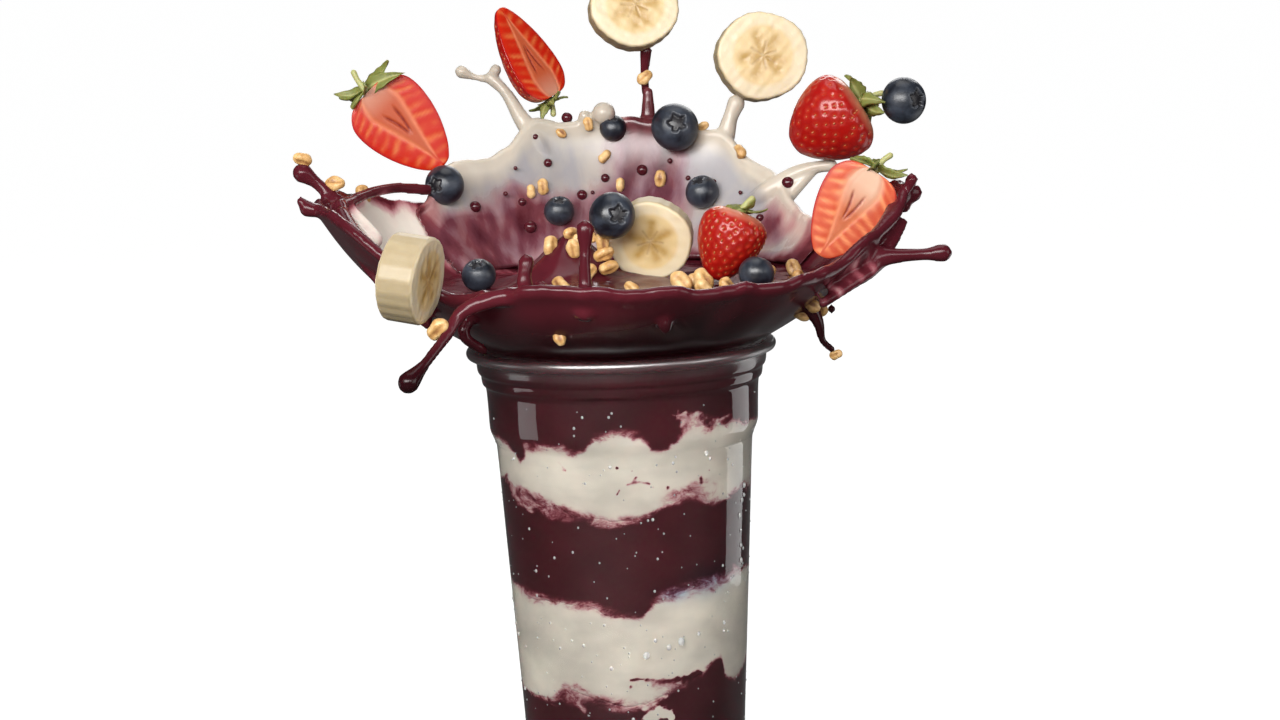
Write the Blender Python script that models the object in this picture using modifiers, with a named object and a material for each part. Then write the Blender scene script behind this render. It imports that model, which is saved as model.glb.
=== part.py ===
"""A clear takeaway cup of layered acai and cream, with a frozen splash of both standing out of its
mouth, and the fruit and granola that the splash carries. The origin is the middle of the cup's
underside, +Z is up and -Y is the front. Sizes are in millimetres and become metres at the end."""

import math

import bmesh
import bpy
import numpy as np
from mathutils import Matrix, Vector

MM = 0.001
GAP = 0.35

# Cup of about 700 ml: thin clear plastic with a rolled rim.
CUP_HEIGHT = 152.0
CUP_STEPS = 40
CUP_OUTSIDE = (
    (45.5, 151.5),
    (46.6, 152.0),
    (48.4, 151.7),
    (49.0, 150.4),
    (48.3, 149.0),
    (46.1, 148.5),
    (45.7, 144.8),
    (44.6, 143.2),
    (44.2, 140.6),
    (43.1, 138.6),
    (42.6, 127.0),
    (40.4, 118.0),
    (35.5, 34.0),
    (33.8, 2.4),
    (32.0, 0.0),
    (0.0, 0.0),
)
CUP_INSIDE = (
    (0.0, 1.8),
    (31.2, 1.8),
    (32.8, 4.0),
    (34.6, 34.0),
    (39.5, 118.0),
    (41.7, 127.0),
    (42.2, 138.8),
    (44.7, 145.0),
    (45.1, 151.0),
)

# Heights of the wavy seams between the layers, as (degrees round the cup, height): 270 is the front.
SEAM_LOW = (
    (0, 52), (60, 47), (120, 51), (180, 46), (220, 46), (245, 44.5), (258, 43.5), (273, 50), (300, 50),
    (320, 53),
)
SEAM_MIDDLE = (
    (0, 78), (70, 82), (140, 76), (190, 80), (221, 79), (248, 76.5), (261, 75), (280, 79.5), (300, 82),
    (319, 82),
)
SEAM_HIGH = (
    (0, 106), (80, 104), (150, 109), (195, 111), (220, 107), (243, 102), (258, 103), (276, 108),
    (300, 107), (318, 103),
)
SEAM_TOP = (
    (0, 126), (60, 129), (120, 124), (170, 128), (197, 123.5), (230, 121.5), (245, 123), (256, 128),
    (269, 129.5), (285, 124.5), (299, 133), (308, 129), (320, 126),
)

# Splash crown: the wall leaves the cup's mouth and curves outward, less steeply at the back.
MOUTH_RADIUS = 44.6
REACH_FRONT = 69.0
REACH_BACK = 48.0
LENGTH_FRONT = 38.0
LENGTH_BACK = 34.0
CROWN_SIDES = 60
LAYER_SIDES = CROWN_SIDES // 2
RIM_THICK = 2.6
POOL_LEVEL = 18.2

# Height of each rim above the cup's mouth, as (degrees, height): 0 is the right, 90 the back.
ACAI_RIM = (
    (4, 46), (11, 43), (19, 34), (30, 30), (44, 35), (60, 37), (70, 39), (75, 46), (79, 62), (82, 68),
    (85, 65), (91, 46), (97, 39), (120, 37), (140, 40), (147, 43), (159, 47), (180, 49), (200, 46),
    (208, 44), (215, 33), (227, 21), (243, 23), (250, 26), (263, 25), (275, 24), (289, 22), (304, 22),
    (315, 23), (333, 26), (346, 34), (356, 43),
)
CREAM_START = 22.0
CREAM_END = 147.0
CREAM_RIM = (
    (22, 28), (33, 31), (40, 36), (44, 43), (50, 46), (58, 52), (63, 61), (68, 61), (75, 63), (85, 66),
    (95, 65), (103, 64), (109, 66), (113, 62), (116, 57), (122, 53), (133, 53), (138, 49), (142, 42),
    (147, 38),
)

ACAI = (0.085, 0.022, 0.032)
CREAM = (0.80, 0.76, 0.66)
BANANA = (0.82, 0.68, 0.40)
STRAWBERRY = (0.55, 0.03, 0.02)
LEAF = (0.10, 0.22, 0.03)
BLUEBERRY = (0.025, 0.035, 0.07)
PLASTIC = (0.85, 0.87, 0.88)


def periodic(table, degrees):
    """The values of (degrees, value) pairs at other angles; the outline closes on itself."""
    table = np.array(table, float)
    return np.interp(degrees, table[:, 0], table[:, 1], period=360)


def inside_radius(height):
    """Radius of the cup's inner wall at a height."""
    wall = np.array(CUP_INSIDE)
    return np.interp(height, wall[1:, 1], wall[1:, 0])


def material(name, colour, roughness, transmission=0.0):
    made = bpy.data.materials.new(name)
    made.use_nodes = True
    shader = made.node_tree.nodes["Principled BSDF"]
    shader.inputs["Base Color"].default_value = (*colour, 1)
    shader.inputs["Roughness"].default_value = roughness
    shader.inputs["Transmission Weight"].default_value = transmission
    return made


def collection(name):
    made = bpy.data.collections.new(name)
    bpy.context.scene.collection.children.link(made)
    return made


def put(mesh, name, group, look=None):
    made = bpy.data.objects.new(name, mesh)
    group.objects.link(made)
    if look:
        mesh.materials.clear()
        mesh.materials.append(look)
    return made


def mesh_of(name, points, faces):
    mesh = bpy.data.meshes.new(name)
    mesh.from_pydata(np.asarray(points).tolist(), [], faces)
    mesh.shade_smooth()
    mesh.update()
    return mesh


def evaluated(obj):
    """A plain mesh of the object with its modifiers applied; a curve's caps are welded."""
    bpy.context.view_layer.update()
    graph = bpy.context.evaluated_depsgraph_get()
    mesh = bpy.data.meshes.new_from_object(obj.evaluated_get(graph))
    work = bmesh.new()
    work.from_mesh(mesh)
    bmesh.ops.remove_doubles(work, verts=work.verts, dist=0.0005)
    work.to_mesh(mesh)
    work.free()
    return mesh


def loft(name, rings, bottom, top):
    """Rings of equal count joined in order, closed by a fan to one point at each end."""
    count = len(rings[0])
    points = [bottom] + [point for ring in rings for point in ring] + [top]
    faces = []
    turn = np.arange(count)
    ahead = (turn + 1) % count
    for i in range(len(rings) - 1):
        low = 1 + i * count
        high = low + count
        faces += np.stack([low + turn, low + ahead, high + ahead, high + turn], 1).tolist()
    faces += [[0, 1 + b, 1 + a] for a, b in zip(turn.tolist(), ahead.tolist())]
    last = 1 + (len(rings) - 1) * count
    end = last + count
    faces += [[end, last + a, last + b] for a, b in zip(turn.tolist(), ahead.tolist())]
    return mesh_of(name, points, faces)


def sheet(name, sections):
    """Closed outlines across a sheet, joined side by side; each end is closed by a strip."""
    count = len(sections[0])
    points = np.concatenate(sections).tolist()
    turn = np.arange(count)
    ahead = (turn + 1) % count
    faces = []
    for i in range(len(sections) - 1):
        near = i * count
        far = near + count
        faces += np.stack([near + ahead, near + turn, far + turn, far + ahead], 1).tolist()
    last = (len(sections) - 1) * count
    for k in range(count // 2):
        strip = list(dict.fromkeys([k, k + 1, count - 2 - k, count - 1 - k]))
        faces.append(strip)
        faces.append([last + corner for corner in strip[::-1]])
    return mesh_of(name, points, faces)


def ring(radius, angles, height):
    """Points round the axis; radius and height may be one number or one for each angle."""
    height = height * np.ones(len(angles))
    return np.stack([radius * np.cos(angles), radius * np.sin(angles), height], 1).tolist()


def turned(name, profile, steps):
    """A Screw of a profile that runs down its outer side, as a mesh."""
    outline = bpy.data.meshes.new(name)
    edges = [(i, i + 1) for i in range(len(profile) - 1)]
    outline.from_pydata([(r, 0, z) for r, z in profile], edges, [])
    obj = bpy.data.objects.new(name, outline)
    bpy.context.scene.collection.objects.link(obj)
    screw = obj.modifiers.new("Turn", "SCREW")
    screw.steps = steps
    screw.render_steps = steps
    screw.use_merge_vertices = True
    screw.merge_threshold = 0.0001
    mesh = evaluated(obj)
    bpy.data.objects.remove(obj)
    mesh.shade_smooth()
    return mesh


def tube(name, path, radii, group, sides=1):
    """A round strand along points, with a radius at each point, as a mesh object."""
    data = bpy.data.curves.new(name, "CURVE")
    data.dimensions = "3D"
    data.bevel_depth = 1.0
    data.bevel_resolution = sides
    data.use_fill_caps = True
    spline = data.splines.new("POLY")
    spline.points.add(len(path) - 1)
    for point, place, radius in zip(spline.points, path, radii):
        point.co = (*place, 1)
        point.radius = radius
    obj = bpy.data.objects.new(name, data)
    bpy.context.scene.collection.objects.link(obj)
    mesh = evaluated(obj)
    bpy.data.objects.remove(obj)
    return put(mesh, name, group)


def smooth_path(points, per_leg=2):
    """A curve through the points; at each point it runs parallel to the line past its neighbours."""
    points = [Vector(p) for p in points]
    padded = [2 * points[0] - points[1], *points, 2 * points[-1] - points[-2]]
    out = []
    for a, b, c, d in zip(padded, padded[1:], padded[2:], padded[3:]):
        for k in range(per_leg):
            t = k / per_leg
            bend = (2 * a - 5 * b + 4 * c - d) * t * t
            twist = (3 * b - a - 3 * c + d) * t**3
            out.append(0.5 * (2 * b + (c - a) * t + bend + twist))
    return [*out, points[-1]]


def strand(name, points, radii, group):
    """A splash finger: a tube through the points, thick at its foot, with a drop at its tip."""
    path = smooth_path(points)
    along = np.linspace(0, 1, len(path))
    thick = np.interp(along, np.linspace(0, 1, len(radii)), radii)
    path = [*path, path[-1] + (path[-1] - path[-2]).normalized() * thick[-1] * 0.7]
    return tube(name, path, [*thick, thick[-1] * 0.45], group)


def grain(name, place, size, group, rings=4, sides=5):
    """One low-sided lump of granola or one drop; size is one radius or three."""
    size = np.broadcast_to(size, 3)
    mesh = bpy.data.meshes.new(name)
    work = bmesh.new()
    bmesh.ops.create_uvsphere(work, u_segments=sides, v_segments=rings, radius=1)
    draw = np.random.default_rng(int(abs(place[0] * 31 + place[1] * 17 + place[2] * 7)))
    turn = Matrix.Rotation(draw.uniform(0, 6.28), 4, Vector(draw.normal(size=3)).normalized())
    matrix = Matrix.Translation(place) @ turn @ Matrix.Diagonal((*size, 1))
    bmesh.ops.transform(work, matrix=matrix, verts=work.verts)
    work.to_mesh(mesh)
    work.free()
    return put(mesh, name, group)


def boolean(obj, operation, group, solver="EXACT"):
    """Joins or cuts with every object of a collection, applies it and removes them."""
    cut = obj.modifiers.new("Join" if operation == "UNION" else "Cut", "BOOLEAN")
    cut.operation = operation
    cut.operand_type = "COLLECTION"
    cut.collection = group
    cut.solver = solver
    mesh = evaluated(obj)
    obj.modifiers.clear()
    obj.data = mesh
    for used in list(group.objects):
        bpy.data.objects.remove(used)


def aim(direction, up=(0, 0, 1)):
    """Rotation that turns +Z to a direction and +X towards the right of it."""
    z = Vector(direction).normalized()
    x = Vector(up).cross(z)
    if x.length < 1e-4:
        x = Vector((1, 0, 0))
    x.normalize()
    return Matrix((x, z.cross(x), z)).transposed().to_4x4()


for old in list(bpy.data.objects):
    bpy.data.objects.remove(old, do_unlink=True)

parts = collection("AcaiCup")
joined = collection("Joined")
cutters = collection("Cutters")

acai_look = material("Acai", ACAI, 0.18)
cream_look = material("Cream", CREAM, 0.3)
banana_look = material("Banana", BANANA, 0.45)
strawberry_look = material("Strawberry", STRAWBERRY, 0.3)
leaf_look = material("Leaf", LEAF, 0.5)
blueberry_look = material("Blueberry", BLUEBERRY, 0.5)
plastic_look = material("ClearPlastic", PLASTIC, 0.05, 1.0)

# The cup is one thin turned wall with a rolled rim and two shallow stacking rings below it.
put(turned("cup", [*CUP_OUTSIDE, *CUP_INSIDE, CUP_OUTSIDE[0]], CUP_STEPS), "cup", parts, plastic_look)

# Four layers fill the cup up to the seam at the top, each a solid against the wall.
layer_angles = np.linspace(0, 2 * math.pi, LAYER_SIDES, endpoint=False)
layer_degrees = np.degrees(layer_angles)


def seam(table, offset=0.0):
    """A seam's height at the wall, round the cup, and its middle height."""
    heights = periodic(table, layer_degrees) + offset
    return heights, float(heights.mean())


def half_way(heights, middle):
    """A ring between the axis and the wall on a layer's top or underside."""
    mixed = middle + (heights - middle) * 0.62
    return ring(0.62 * (inside_radius(mixed) - GAP), layer_angles, mixed)


def at_wall(heights):
    return ring(inside_radius(heights) - GAP, layer_angles, heights)


def layer(name, low, high, look):
    low_heights, low_middle = low
    high_heights, high_middle = high
    rings = [half_way(low_heights, low_middle), at_wall(low_heights)]
    for bend in (34, 118):
        if low_heights.max() < bend < high_heights.min():
            rings.append(at_wall(bend * np.ones(LAYER_SIDES)))
    rings += [at_wall(high_heights), half_way(high_heights, high_middle)]
    mesh = loft(name, rings, (0, 0, low_middle), (0, 0, high_middle))
    put(mesh, name, parts, look)


floor_level = 1.8 + GAP
top_heights, top_middle = seam(SEAM_LOW, -GAP / 2)
bottom_rings = [
    ring(15.0, layer_angles, floor_level),
    ring(31.2 - GAP, layer_angles, floor_level),
    ring(32.8 - GAP, layer_angles, 4.0),
    ring(34.6 - GAP, layer_angles, 34.0),
    at_wall(top_heights),
    half_way(top_heights, top_middle),
]
bottom_mesh = loft("acai_bottom", bottom_rings, (0, 0, floor_level), (0, 0, top_middle))
put(bottom_mesh, "acai_bottom", parts, acai_look)
layer("cream_lower", seam(SEAM_LOW, GAP / 2), seam(SEAM_MIDDLE, -GAP / 2), cream_look)
layer("acai_middle", seam(SEAM_MIDDLE, GAP / 2), seam(SEAM_HIGH, -GAP / 2), acai_look)
layer("cream_upper", seam(SEAM_HIGH, GAP / 2), seam(SEAM_TOP, -GAP / 2), cream_look)


def crown_wall(height, angle, inward):
    """(radius, height above the mouth) of a surface that lies inward of the crown's outside."""
    back = np.maximum(0, np.sin(angle))
    reach = REACH_FRONT + (REACH_BACK - REACH_FRONT) * back
    length = LENGTH_FRONT + (LENGTH_BACK - LENGTH_FRONT) * back
    fade = np.exp(-height / length)
    slope = reach / length * fade
    size = np.sqrt(1 + slope**2)
    radius = MOUTH_RADIUS + reach * (1 - fade) - inward / size
    return radius, height + inward * slope / size


def wall_thickness(height):
    return RIM_THICK + 2.6 * np.exp(-height / 12)


def pool_height(x, y):
    """The filling's surface inside the crown: a low mound with a ridge that carries granola."""
    mound = 1.6 * np.exp(-(x**2 + y**2) / (2 * 26**2))
    ridge = 14.3 * np.exp(-((x + 15) ** 2) / (2 * 10**2) - (y - 3) ** 2 / (2 * 10**2))
    return POOL_LEVEL + mound + ridge


def inner_start(angle, thickness, level):
    """Height on the wall's formula at which its inner side stands at a real level."""
    tries = np.linspace(0, 40, 400)
    out = []
    for one in angle:
        real = crown_wall(tries, one, thickness(tries))[1]
        out.append(np.interp(level, real, tries))
    return np.array(out)


# The acai splash: the top layer in the cup, the crown's wall, its rim, and the pool inside it.
angles = np.linspace(0, 2 * math.pi, CROWN_SIDES, endpoint=False)
degrees = np.degrees(angles)
rim = periodic(ACAI_RIM, degrees)
under, middle = seam(SEAM_TOP, GAP / 2)


def halved(points):
    """The layers' ring with a point added at the middle of each side, so both seams match."""
    points = np.array(points)
    between = (points + np.roll(points, -1, 0)) / 2
    return np.stack([points, between], 1).reshape(-1, 3).tolist()


rings = [halved(half_way(under, middle)), halved(at_wall(under))]
for _, level in CUP_INSIDE[6:]:
    rings.append(ring(inside_radius(level) - 1.4 * GAP, angles, level))
for part in (0.025, 0.1, 0.25, 0.48, 0.74, 1.0):
    radius, height = crown_wall(part * (rim - 1.5), angles, 0.0)
    rings.append(ring(radius, angles, CUP_HEIGHT + height))
radius, height = crown_wall(rim, angles, 0.5 * RIM_THICK)
rings.append(ring(radius, angles, CUP_HEIGHT + height))
foot = inner_start(angles, wall_thickness, POOL_LEVEL + 0.4)
for part in (1.0, 0.74, 0.42, 0.16, 0.0):
    level = foot + part * (rim - 1.5 - foot)
    radius, height = crown_wall(level, angles, wall_thickness(level))
    rings.append(ring(radius, angles, CUP_HEIGHT + height))
edge = radius
for part in (0.82, 0.6, 0.4, 0.2):
    radius = part * edge
    height = pool_height(radius * np.cos(angles), radius * np.sin(angles))
    rings.append(ring(radius, angles, CUP_HEIGHT + height))
splash_mesh = loft("acai_splash", rings, (0, 0, middle), (0, 0, CUP_HEIGHT + float(pool_height(0.0, 0.0))))
splash = put(splash_mesh, "acai_splash", parts, acai_look)

# Strands that stand out of the crown, as points along each and its radii from foot to tip.
ACAI_STRANDS = {
    "jet": (
        [(12.3, 83.3, 214.5), (11.9, 83.6, 220), (11.1, 83.3, 231), (11.9, 82.6, 239.4)],
        [1.7, 2.0, 1.7, 1.5, 1.6],
    ),
    "column": (
        [(-9.6, -70.5, 172), (-9.2, -69.5, 184), (-8.7, -68, 194.5)],
        [3.6, 1.9, 1.5, 2.2, 2.7],
    ),
    "nub": (
        [(-27, -64, 173), (-27.4, -60, 180), (-26.6, -58, 184.5)],
        [4.2, 2.6, 2.1, 2.5],
    ),
    "finger_low_left": (
        [
            (-20, -66, 174.5), (-30, -66, 175.3), (-38, -65.5, 174.3), (-46, -66, 171),
            (-50.5, -70, 165), (-56.5, -76, 158), (-61.5, -80, 153),
        ],
        [2.4, 2.7, 2.6, 2.4, 2.1, 1.8, 2.1, 3.4],
    ),
    "web_low_left": (
        [(-44, -52, 169), (-45.5, -53, 163), (-39, -50, 158.5)],
        [2.2, 1.8, 1.6],
    ),
    "finger_right": (
        [(74, -22, 174), (80, -22, 177.5), (87, -22, 178.2), (94.7, -22, 178.3), (100.3, -22, 178.6)],
        [3.4, 3.3, 2.3, 1.9, 2.9],
    ),
    "finger_right_back": (
        [(84, 8, 187), (90, 7, 192.5), (94, 6, 195)],
        [2.8, 2.8, 3.1],
    ),
    "finger_left": (
        [(-79, 4, 190), (-84, 5, 195.5), (-90, 5, 201.5), (-94.4, 5, 205.7), (-98.2, 5, 208.7)],
        [3.2, 2.7, 2.2, 2.0, 3.3],
    ),
    "finger_left_low": (
        [(-80, -16, 188), (-85, -15, 192.5), (-89.8, -15, 197), (-95, -15, 199)],
        [2.8, 2.2, 1.5, 2.8],
    ),
    "rib_left": (
        [(-64, -22, 172), (-74, -18, 181), (-82, -10, 191), (-86.5, 0, 198.5)],
        [2.0, 2.6, 2.4, 2.0],
    ),
}
for name, (points, radii) in ACAI_STRANDS.items():
    strand(name, points, radii, joined)

GRANOLA = (
    (-20.8, -1.0, 182.9, 3.4), (-14.3, 1.0, 186.6, 3.0), (-13.6, -6.0, 182.6, 3.2),
    (-4.4, -10.0, 184.8, 3.3), (-4.2, -10.0, 181.0, 3.4), (-2.8, -11.0, 176.8, 3.4),
    (-15.9, -41.0, 171.2, 3.4), (-17.1, -41.0, 174.7, 3.5), (4.2, -29.0, 171.9, 2.8),
    (19.4, -26.0, 173.2, 3.6), (26.2, -28.0, 173.6, 4.0), (26.2, -32.0, 171.6, 3.0),
    (33.4, -29.0, 171.8, 3.0), (55.8, 8.0, 172.2, 3.0), (56.5, -10.0, 170.8, 3.0),
    (47.6, 5.0, 171.4, 2.6), (-17.8, -57.0, 161.6, 2.6), (62.0, -14.0, 163.0, 3.8),
    (65.5, -6.0, 165.6, 2.8), (59.5, -22.0, 163.8, 2.8), (56.5, -19.0, 160.5, 2.6),
    (-98.0, 5.0, 213.0, 2.9), (-88.2, 5.0, 205.0, 3.2), (-82.0, 31.0, 198.5, 3.6),
    (-53.0, -68.5, 166.8, 3.6), (-9.0, -14.0, 175.8, 3.0), (-11.5, -4.0, 184.8, 2.6),
)
for index, (x, y, z, size) in enumerate(GRANOLA):
    grain(f"granola_{index}", (x, y, z), (size, 0.78 * size, 0.7 * size), joined)
grain("drop_front", (13.4, -61.8, 165.4), 2.0, joined)
boolean(splash, "UNION", joined)

# The cream splash: a thin sheet that stands inside the back of the crown, with its own fingers.
cream_angles = np.radians(np.linspace(CREAM_START, CREAM_END, 34))
cream_rim = periodic(CREAM_RIM, np.degrees(cream_angles))


def cream_outside(height):
    return wall_thickness(height) + 0.9


cream_foot = inner_start(cream_angles, cream_outside, POOL_LEVEL + 1.2)
loops = []
for part in (0.0, 0.16, 0.36, 0.58, 0.8, 1.0):
    level = cream_foot + part * (cream_rim - 1.6 - cream_foot)
    loops.append(crown_wall(level, cream_angles, cream_outside(level)))
loops.append(crown_wall(cream_rim, cream_angles, cream_outside(cream_rim) + 1.5))
for part in (1.0, 0.8, 0.58, 0.36, 0.16, 0.0):
    level = cream_foot + part * (cream_rim - 1.6 - cream_foot)
    thick = 2.1 + 1.0 * part**8
    loops.append(crown_wall(level, cream_angles, cream_outside(level) + thick))
outlines = []
for radius, height in loops:
    x = radius * np.cos(cream_angles)
    y = radius * np.sin(cream_angles)
    outlines.append([x, y, CUP_HEIGHT + height])
sections = np.array(outlines).transpose(2, 0, 1)
cream = put(sheet("cream_splash", sections), "cream_splash", parts, cream_look)

CREAM_STRANDS = {
    "spike": (
        [(-27.5, 75.5, 211.5), (-31.5, 78.2, 219.5), (-36, 81, 227.5), (-41, 83, 232.8)],
        [3.6, 3.2, 2.3, 1.9, 2.0],
    ),
    "spike_drop": (
        [(-40.5, 83, 232.3), (-46.5, 84, 233.2), (-51, 84, 235.2)],
        [1.8, 1.0, 2.4],
    ),
    "spike_drop_right": (
        [(-41, 83, 232.5), (-39.4, 84, 235.2)],
        [1.3, 2.0],
    ),
    "nub_cream": (
        [(-9.7, 76.4, 213), (-9.7, 78.5, 218.5)],
        [3.2, 2.2],
    ),
    "finger_cream": (
        [(36.6, 71, 208), (39, 73.6, 215.5), (41.6, 74.5, 221.5)],
        [3.6, 3.0, 2.5, 3.0],
    ),
    "tongue_cream": (
        [(52.5, 53.5, 194), (58.5, 54.5, 197.8), (65, 53, 200.3), (71.5, 51.5, 201.2)],
        [3.4, 3.3, 2.9, 2.2, 2.0],
    ),
}
for name, (points, radii) in CREAM_STRANDS.items():
    strand(name, points, radii, joined)
grain("drop_cream", (-3.2, 77.8, 219.6), 4.0, joined, rings=6, sides=10)
CREAM_BITS = (
    (-3.4, 76.2, 205.2, 2.6), (1.4, 72.6, 195.7, 2.6), (15.0, 71.8, 197.3, 2.9),
    (-24.6, 69.3, 196.3, 2.6), (-28.6, 67.4, 195.0, 2.5), (42.1, 66.4, 205.8, 2.9),
    (-8.6, 77.5, 216.3, 2.4), (30.1, 74.0, 214.3, 2.2), (-22.5, 72.6, 203.4, 1.8),
    (-11.4, 70.5, 192.4, 2.0), (-46.6, 57.0, 191.4, 1.8), (57.0, 52.0, 195.6, 2.2),
)
for index, (x, y, z, size) in enumerate(CREAM_BITS):
    grain(f"bit_{index}", (x, y, z), (size, 0.85 * size, 0.85 * size), joined)
boolean(cream, "UNION", joined)

# Fruit. Each piece keeps a socket in whatever splash it touches.
sockets = []


def fruit(mesh, name, place, turn, look, scale=1.0):
    """Places a fruit mesh and keeps a slightly larger copy to cut its socket."""
    matrix = Matrix.Translation(place) @ turn @ Matrix.Scale(scale, 4)
    mesh = mesh.copy()
    mesh.transform(matrix)
    put(mesh, name, parts, look)
    mesh.update()
    bigger = mesh.copy()
    for vertex, inner in zip(bigger.vertices, mesh.vertices):
        vertex.co = inner.co + inner.normal * 1.3 * GAP
    sockets.append(bigger)
    return matrix


berry_mesh = bpy.data.meshes.new("berry")
berry = bmesh.new()
bmesh.ops.create_uvsphere(berry, u_segments=9, v_segments=7, radius=1)
for vertex in berry.verts:
    if vertex.co.z > 0.99:
        vertex.co.z = 0.72
    elif vertex.co.z > 0.9:
        vertex.co.z = 0.97
    vertex.co.z *= 0.93
berry.to_mesh(berry_mesh)
berry.free()
berry_mesh.shade_smooth()
BLUEBERRIES = (
    (-56.5, 51.0, 199.5, 6.6, (-0.6, -1, 0.1)), (-43.8, -2.0, 174.9, 5.4, (-0.2, -0.6, 1)),
    (-19.4, 64.6, 188.3, 5.1, (0.1, -0.5, 1)), (-1.1, -12.8, 193.1, 7.3, (0.35, -1, 0.15)),
    (-0.3, 77.2, 214.6, 4.6, (0.0, -0.5, 1)), (20.6, 70.4, 214.5, 8.0, (0.1, -1, 0.3)),
    (28.8, 63.6, 192.9, 5.7, (-0.3, -0.5, 1)), (42.6, -24.0, 174.6, 5.6, (0.4, 0.3, 1)),
    (95.7, 47.8, 221.8, 7.6, (0.7, -0.8, 0.1)),
)
for index, (x, y, z, size, way) in enumerate(BLUEBERRIES, 1):
    fruit(berry_mesh, f"blueberry_{index}", (x, y, z), aim(way), blueberry_look, size)


def slice_mesh(radius, thick):
    """A banana slice: a low cylinder, slightly out of round, with soft edges."""
    bpy.ops.mesh.primitive_cylinder_add(vertices=20, radius=radius, depth=thick)
    obj = bpy.context.object
    obj.data.transform(Matrix.Diagonal((1, 0.96, 1, 1)))
    soft = obj.modifiers.new("Soft", "BEVEL")
    soft.width = 1.1
    soft.limit_method = "ANGLE"
    mesh = evaluated(obj)
    bpy.data.objects.remove(obj)
    mesh.shade_smooth()
    return mesh


fruit(slice_mesh(15.0, 10), "banana_top", (8.2, 80.4, 254.9), aim((0.12, -1, 0.22)), banana_look)
fruit(slice_mesh(15.4, 10), "banana_right", (50.4, 74.0, 236.8), aim((0.12, -1, 0.14)), banana_look)
fruit(slice_mesh(13.2, 9), "banana_centre", (10.8, 0.0, 184.2), aim((-0.1, -1, -0.12)), banana_look)
fruit(slice_mesh(13.6, 11.5), "banana_left", (-60.6, -65.4, 181.9), aim((0.95, -0.3, -0.16)), banana_look)

STRAWBERRY_PROFILE = (
    (0.0, 0.97), (0.3, 1.0), (0.66, 0.95), (0.93, 0.84), (1.0, 0.7), (0.94, 0.52), (0.78, 0.33),
    (0.52, 0.15), (0.28, 0.04), (0.0, 0.0),
)


def strawberry_mesh(length, radius, half):
    """A heart-shaped turned berry along +Z, tip at the origin; a half is cut through its axis."""
    mesh = turned("berry", [(r * radius, z * length) for r, z in STRAWBERRY_PROFILE], 14)
    if half:
        work = bmesh.new()
        work.from_mesh(mesh)
        whole = work.verts[:] + work.edges[:] + work.faces[:]
        bmesh.ops.bisect_plane(
            work, geom=whole, dist=0.01, plane_co=(0, 0, 0), plane_no=(0, -1, 0), clear_outer=True
        )
        bmesh.ops.holes_fill(work, edges=[edge for edge in work.edges if edge.is_boundary])
        bmesh.ops.recalc_face_normals(work, faces=work.faces)
        work.to_mesh(mesh)
        work.free()
    return mesh


def star_mesh(radius, points=7):
    """A calyx: a thin star of pointed leaves that arch out from the stalk and curl up at their tips."""
    around = np.linspace(0, 2 * math.pi, 2 * points, endpoint=False)
    tip = np.arange(2 * points) % 2 == 0
    lift = 0.16 * radius * np.cos(3 * around + 0.7)
    reach = np.where(tip, radius * (1 + 0.14 * np.sin(5 * around)), 0.42 * radius)
    half_reach = np.where(tip, 0.55 * radius, 0.34 * radius)
    high = np.where(tip, 0.34 * radius + lift, 0.02 * radius)
    mid = np.where(tip, 0.05 * radius, 0.0)
    thick = 0.6
    lower = [ring(half_reach, around, mid), ring(reach, around, high)]
    upper = [ring(reach, around, high + thick), ring(half_reach, around, mid + thick)]
    return loft("star", [*lower, *upper], (0, 0, 0), (0, 0, thick + 0.1 * radius))


# name, berry tip, calyx end, radius, facing of the cut face or None, calyx radius
STRAWBERRIES = (
    ("left", (-56.7, 56.7, 205.6), (-81.0, 56.0, 231.5), 13.2, (0.12, -1, 0.1), 13.5),
    ("high", (-37.0, 81.0, 256.3), (-19.6, 79.5, 225.9), 10.2, (0.72, -0.7, 0.15), 8.5),
    ("back_right", (59.0, 50.0, 208.2), (81.6, 50.0, 221.7), 14.4, None, 14.0),
    ("low_right", (63.4, -4.0, 177.2), (81.6, -4.0, 203.4), 12.0, (-0.05, -1, 0.12), 11.5),
    ("centre", (29.8, -11.0, 171.8), (39.4, -9.0, 192.6), 10.6, None, 8.5),
)
for name, tip, top, radius, facing, leaf in STRAWBERRIES:
    axis = Vector(top) - Vector(tip)
    mesh = strawberry_mesh(axis.length, radius, facing is not None)
    z = axis.normalized()
    y = -Vector(facing or (0, -1, 0))
    x = y.cross(z).normalized()
    turn = Matrix((x, z.cross(x), z)).transposed().to_4x4()
    fruit(mesh, f"strawberry_{name}", tip, turn, strawberry_look)
    seat = Vector(top) + z * 0.5
    if facing is not None:
        seat += z.cross(x) * 0.32 * radius
    star = star_mesh(leaf)
    star.transform(Matrix.Translation(seat) @ turn)
    put(star, f"calyx_{name}", parts, leaf_look)

for target in (splash, cream):
    for index, mesh in enumerate(sockets):
        put(mesh.copy(), f"socket_{index}", cutters)
    boolean(target, "DIFFERENCE", cutters)

for obj in parts.objects:
    obj.data.transform(Matrix.Scale(MM, 4))
    obj.data.update()
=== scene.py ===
"""Looks of a clear takeaway cup: layers of blended acai and cream, a frozen crown splash of both that stands
out of its mouth, and the fruit and granola that it carries. Each section makes one piece or a group of like
pieces, in the order in which the dessert is put together. Shapes are worked out in millimetres."""

import bpy
import numpy as np
from mathutils import Matrix, Vector


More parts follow.
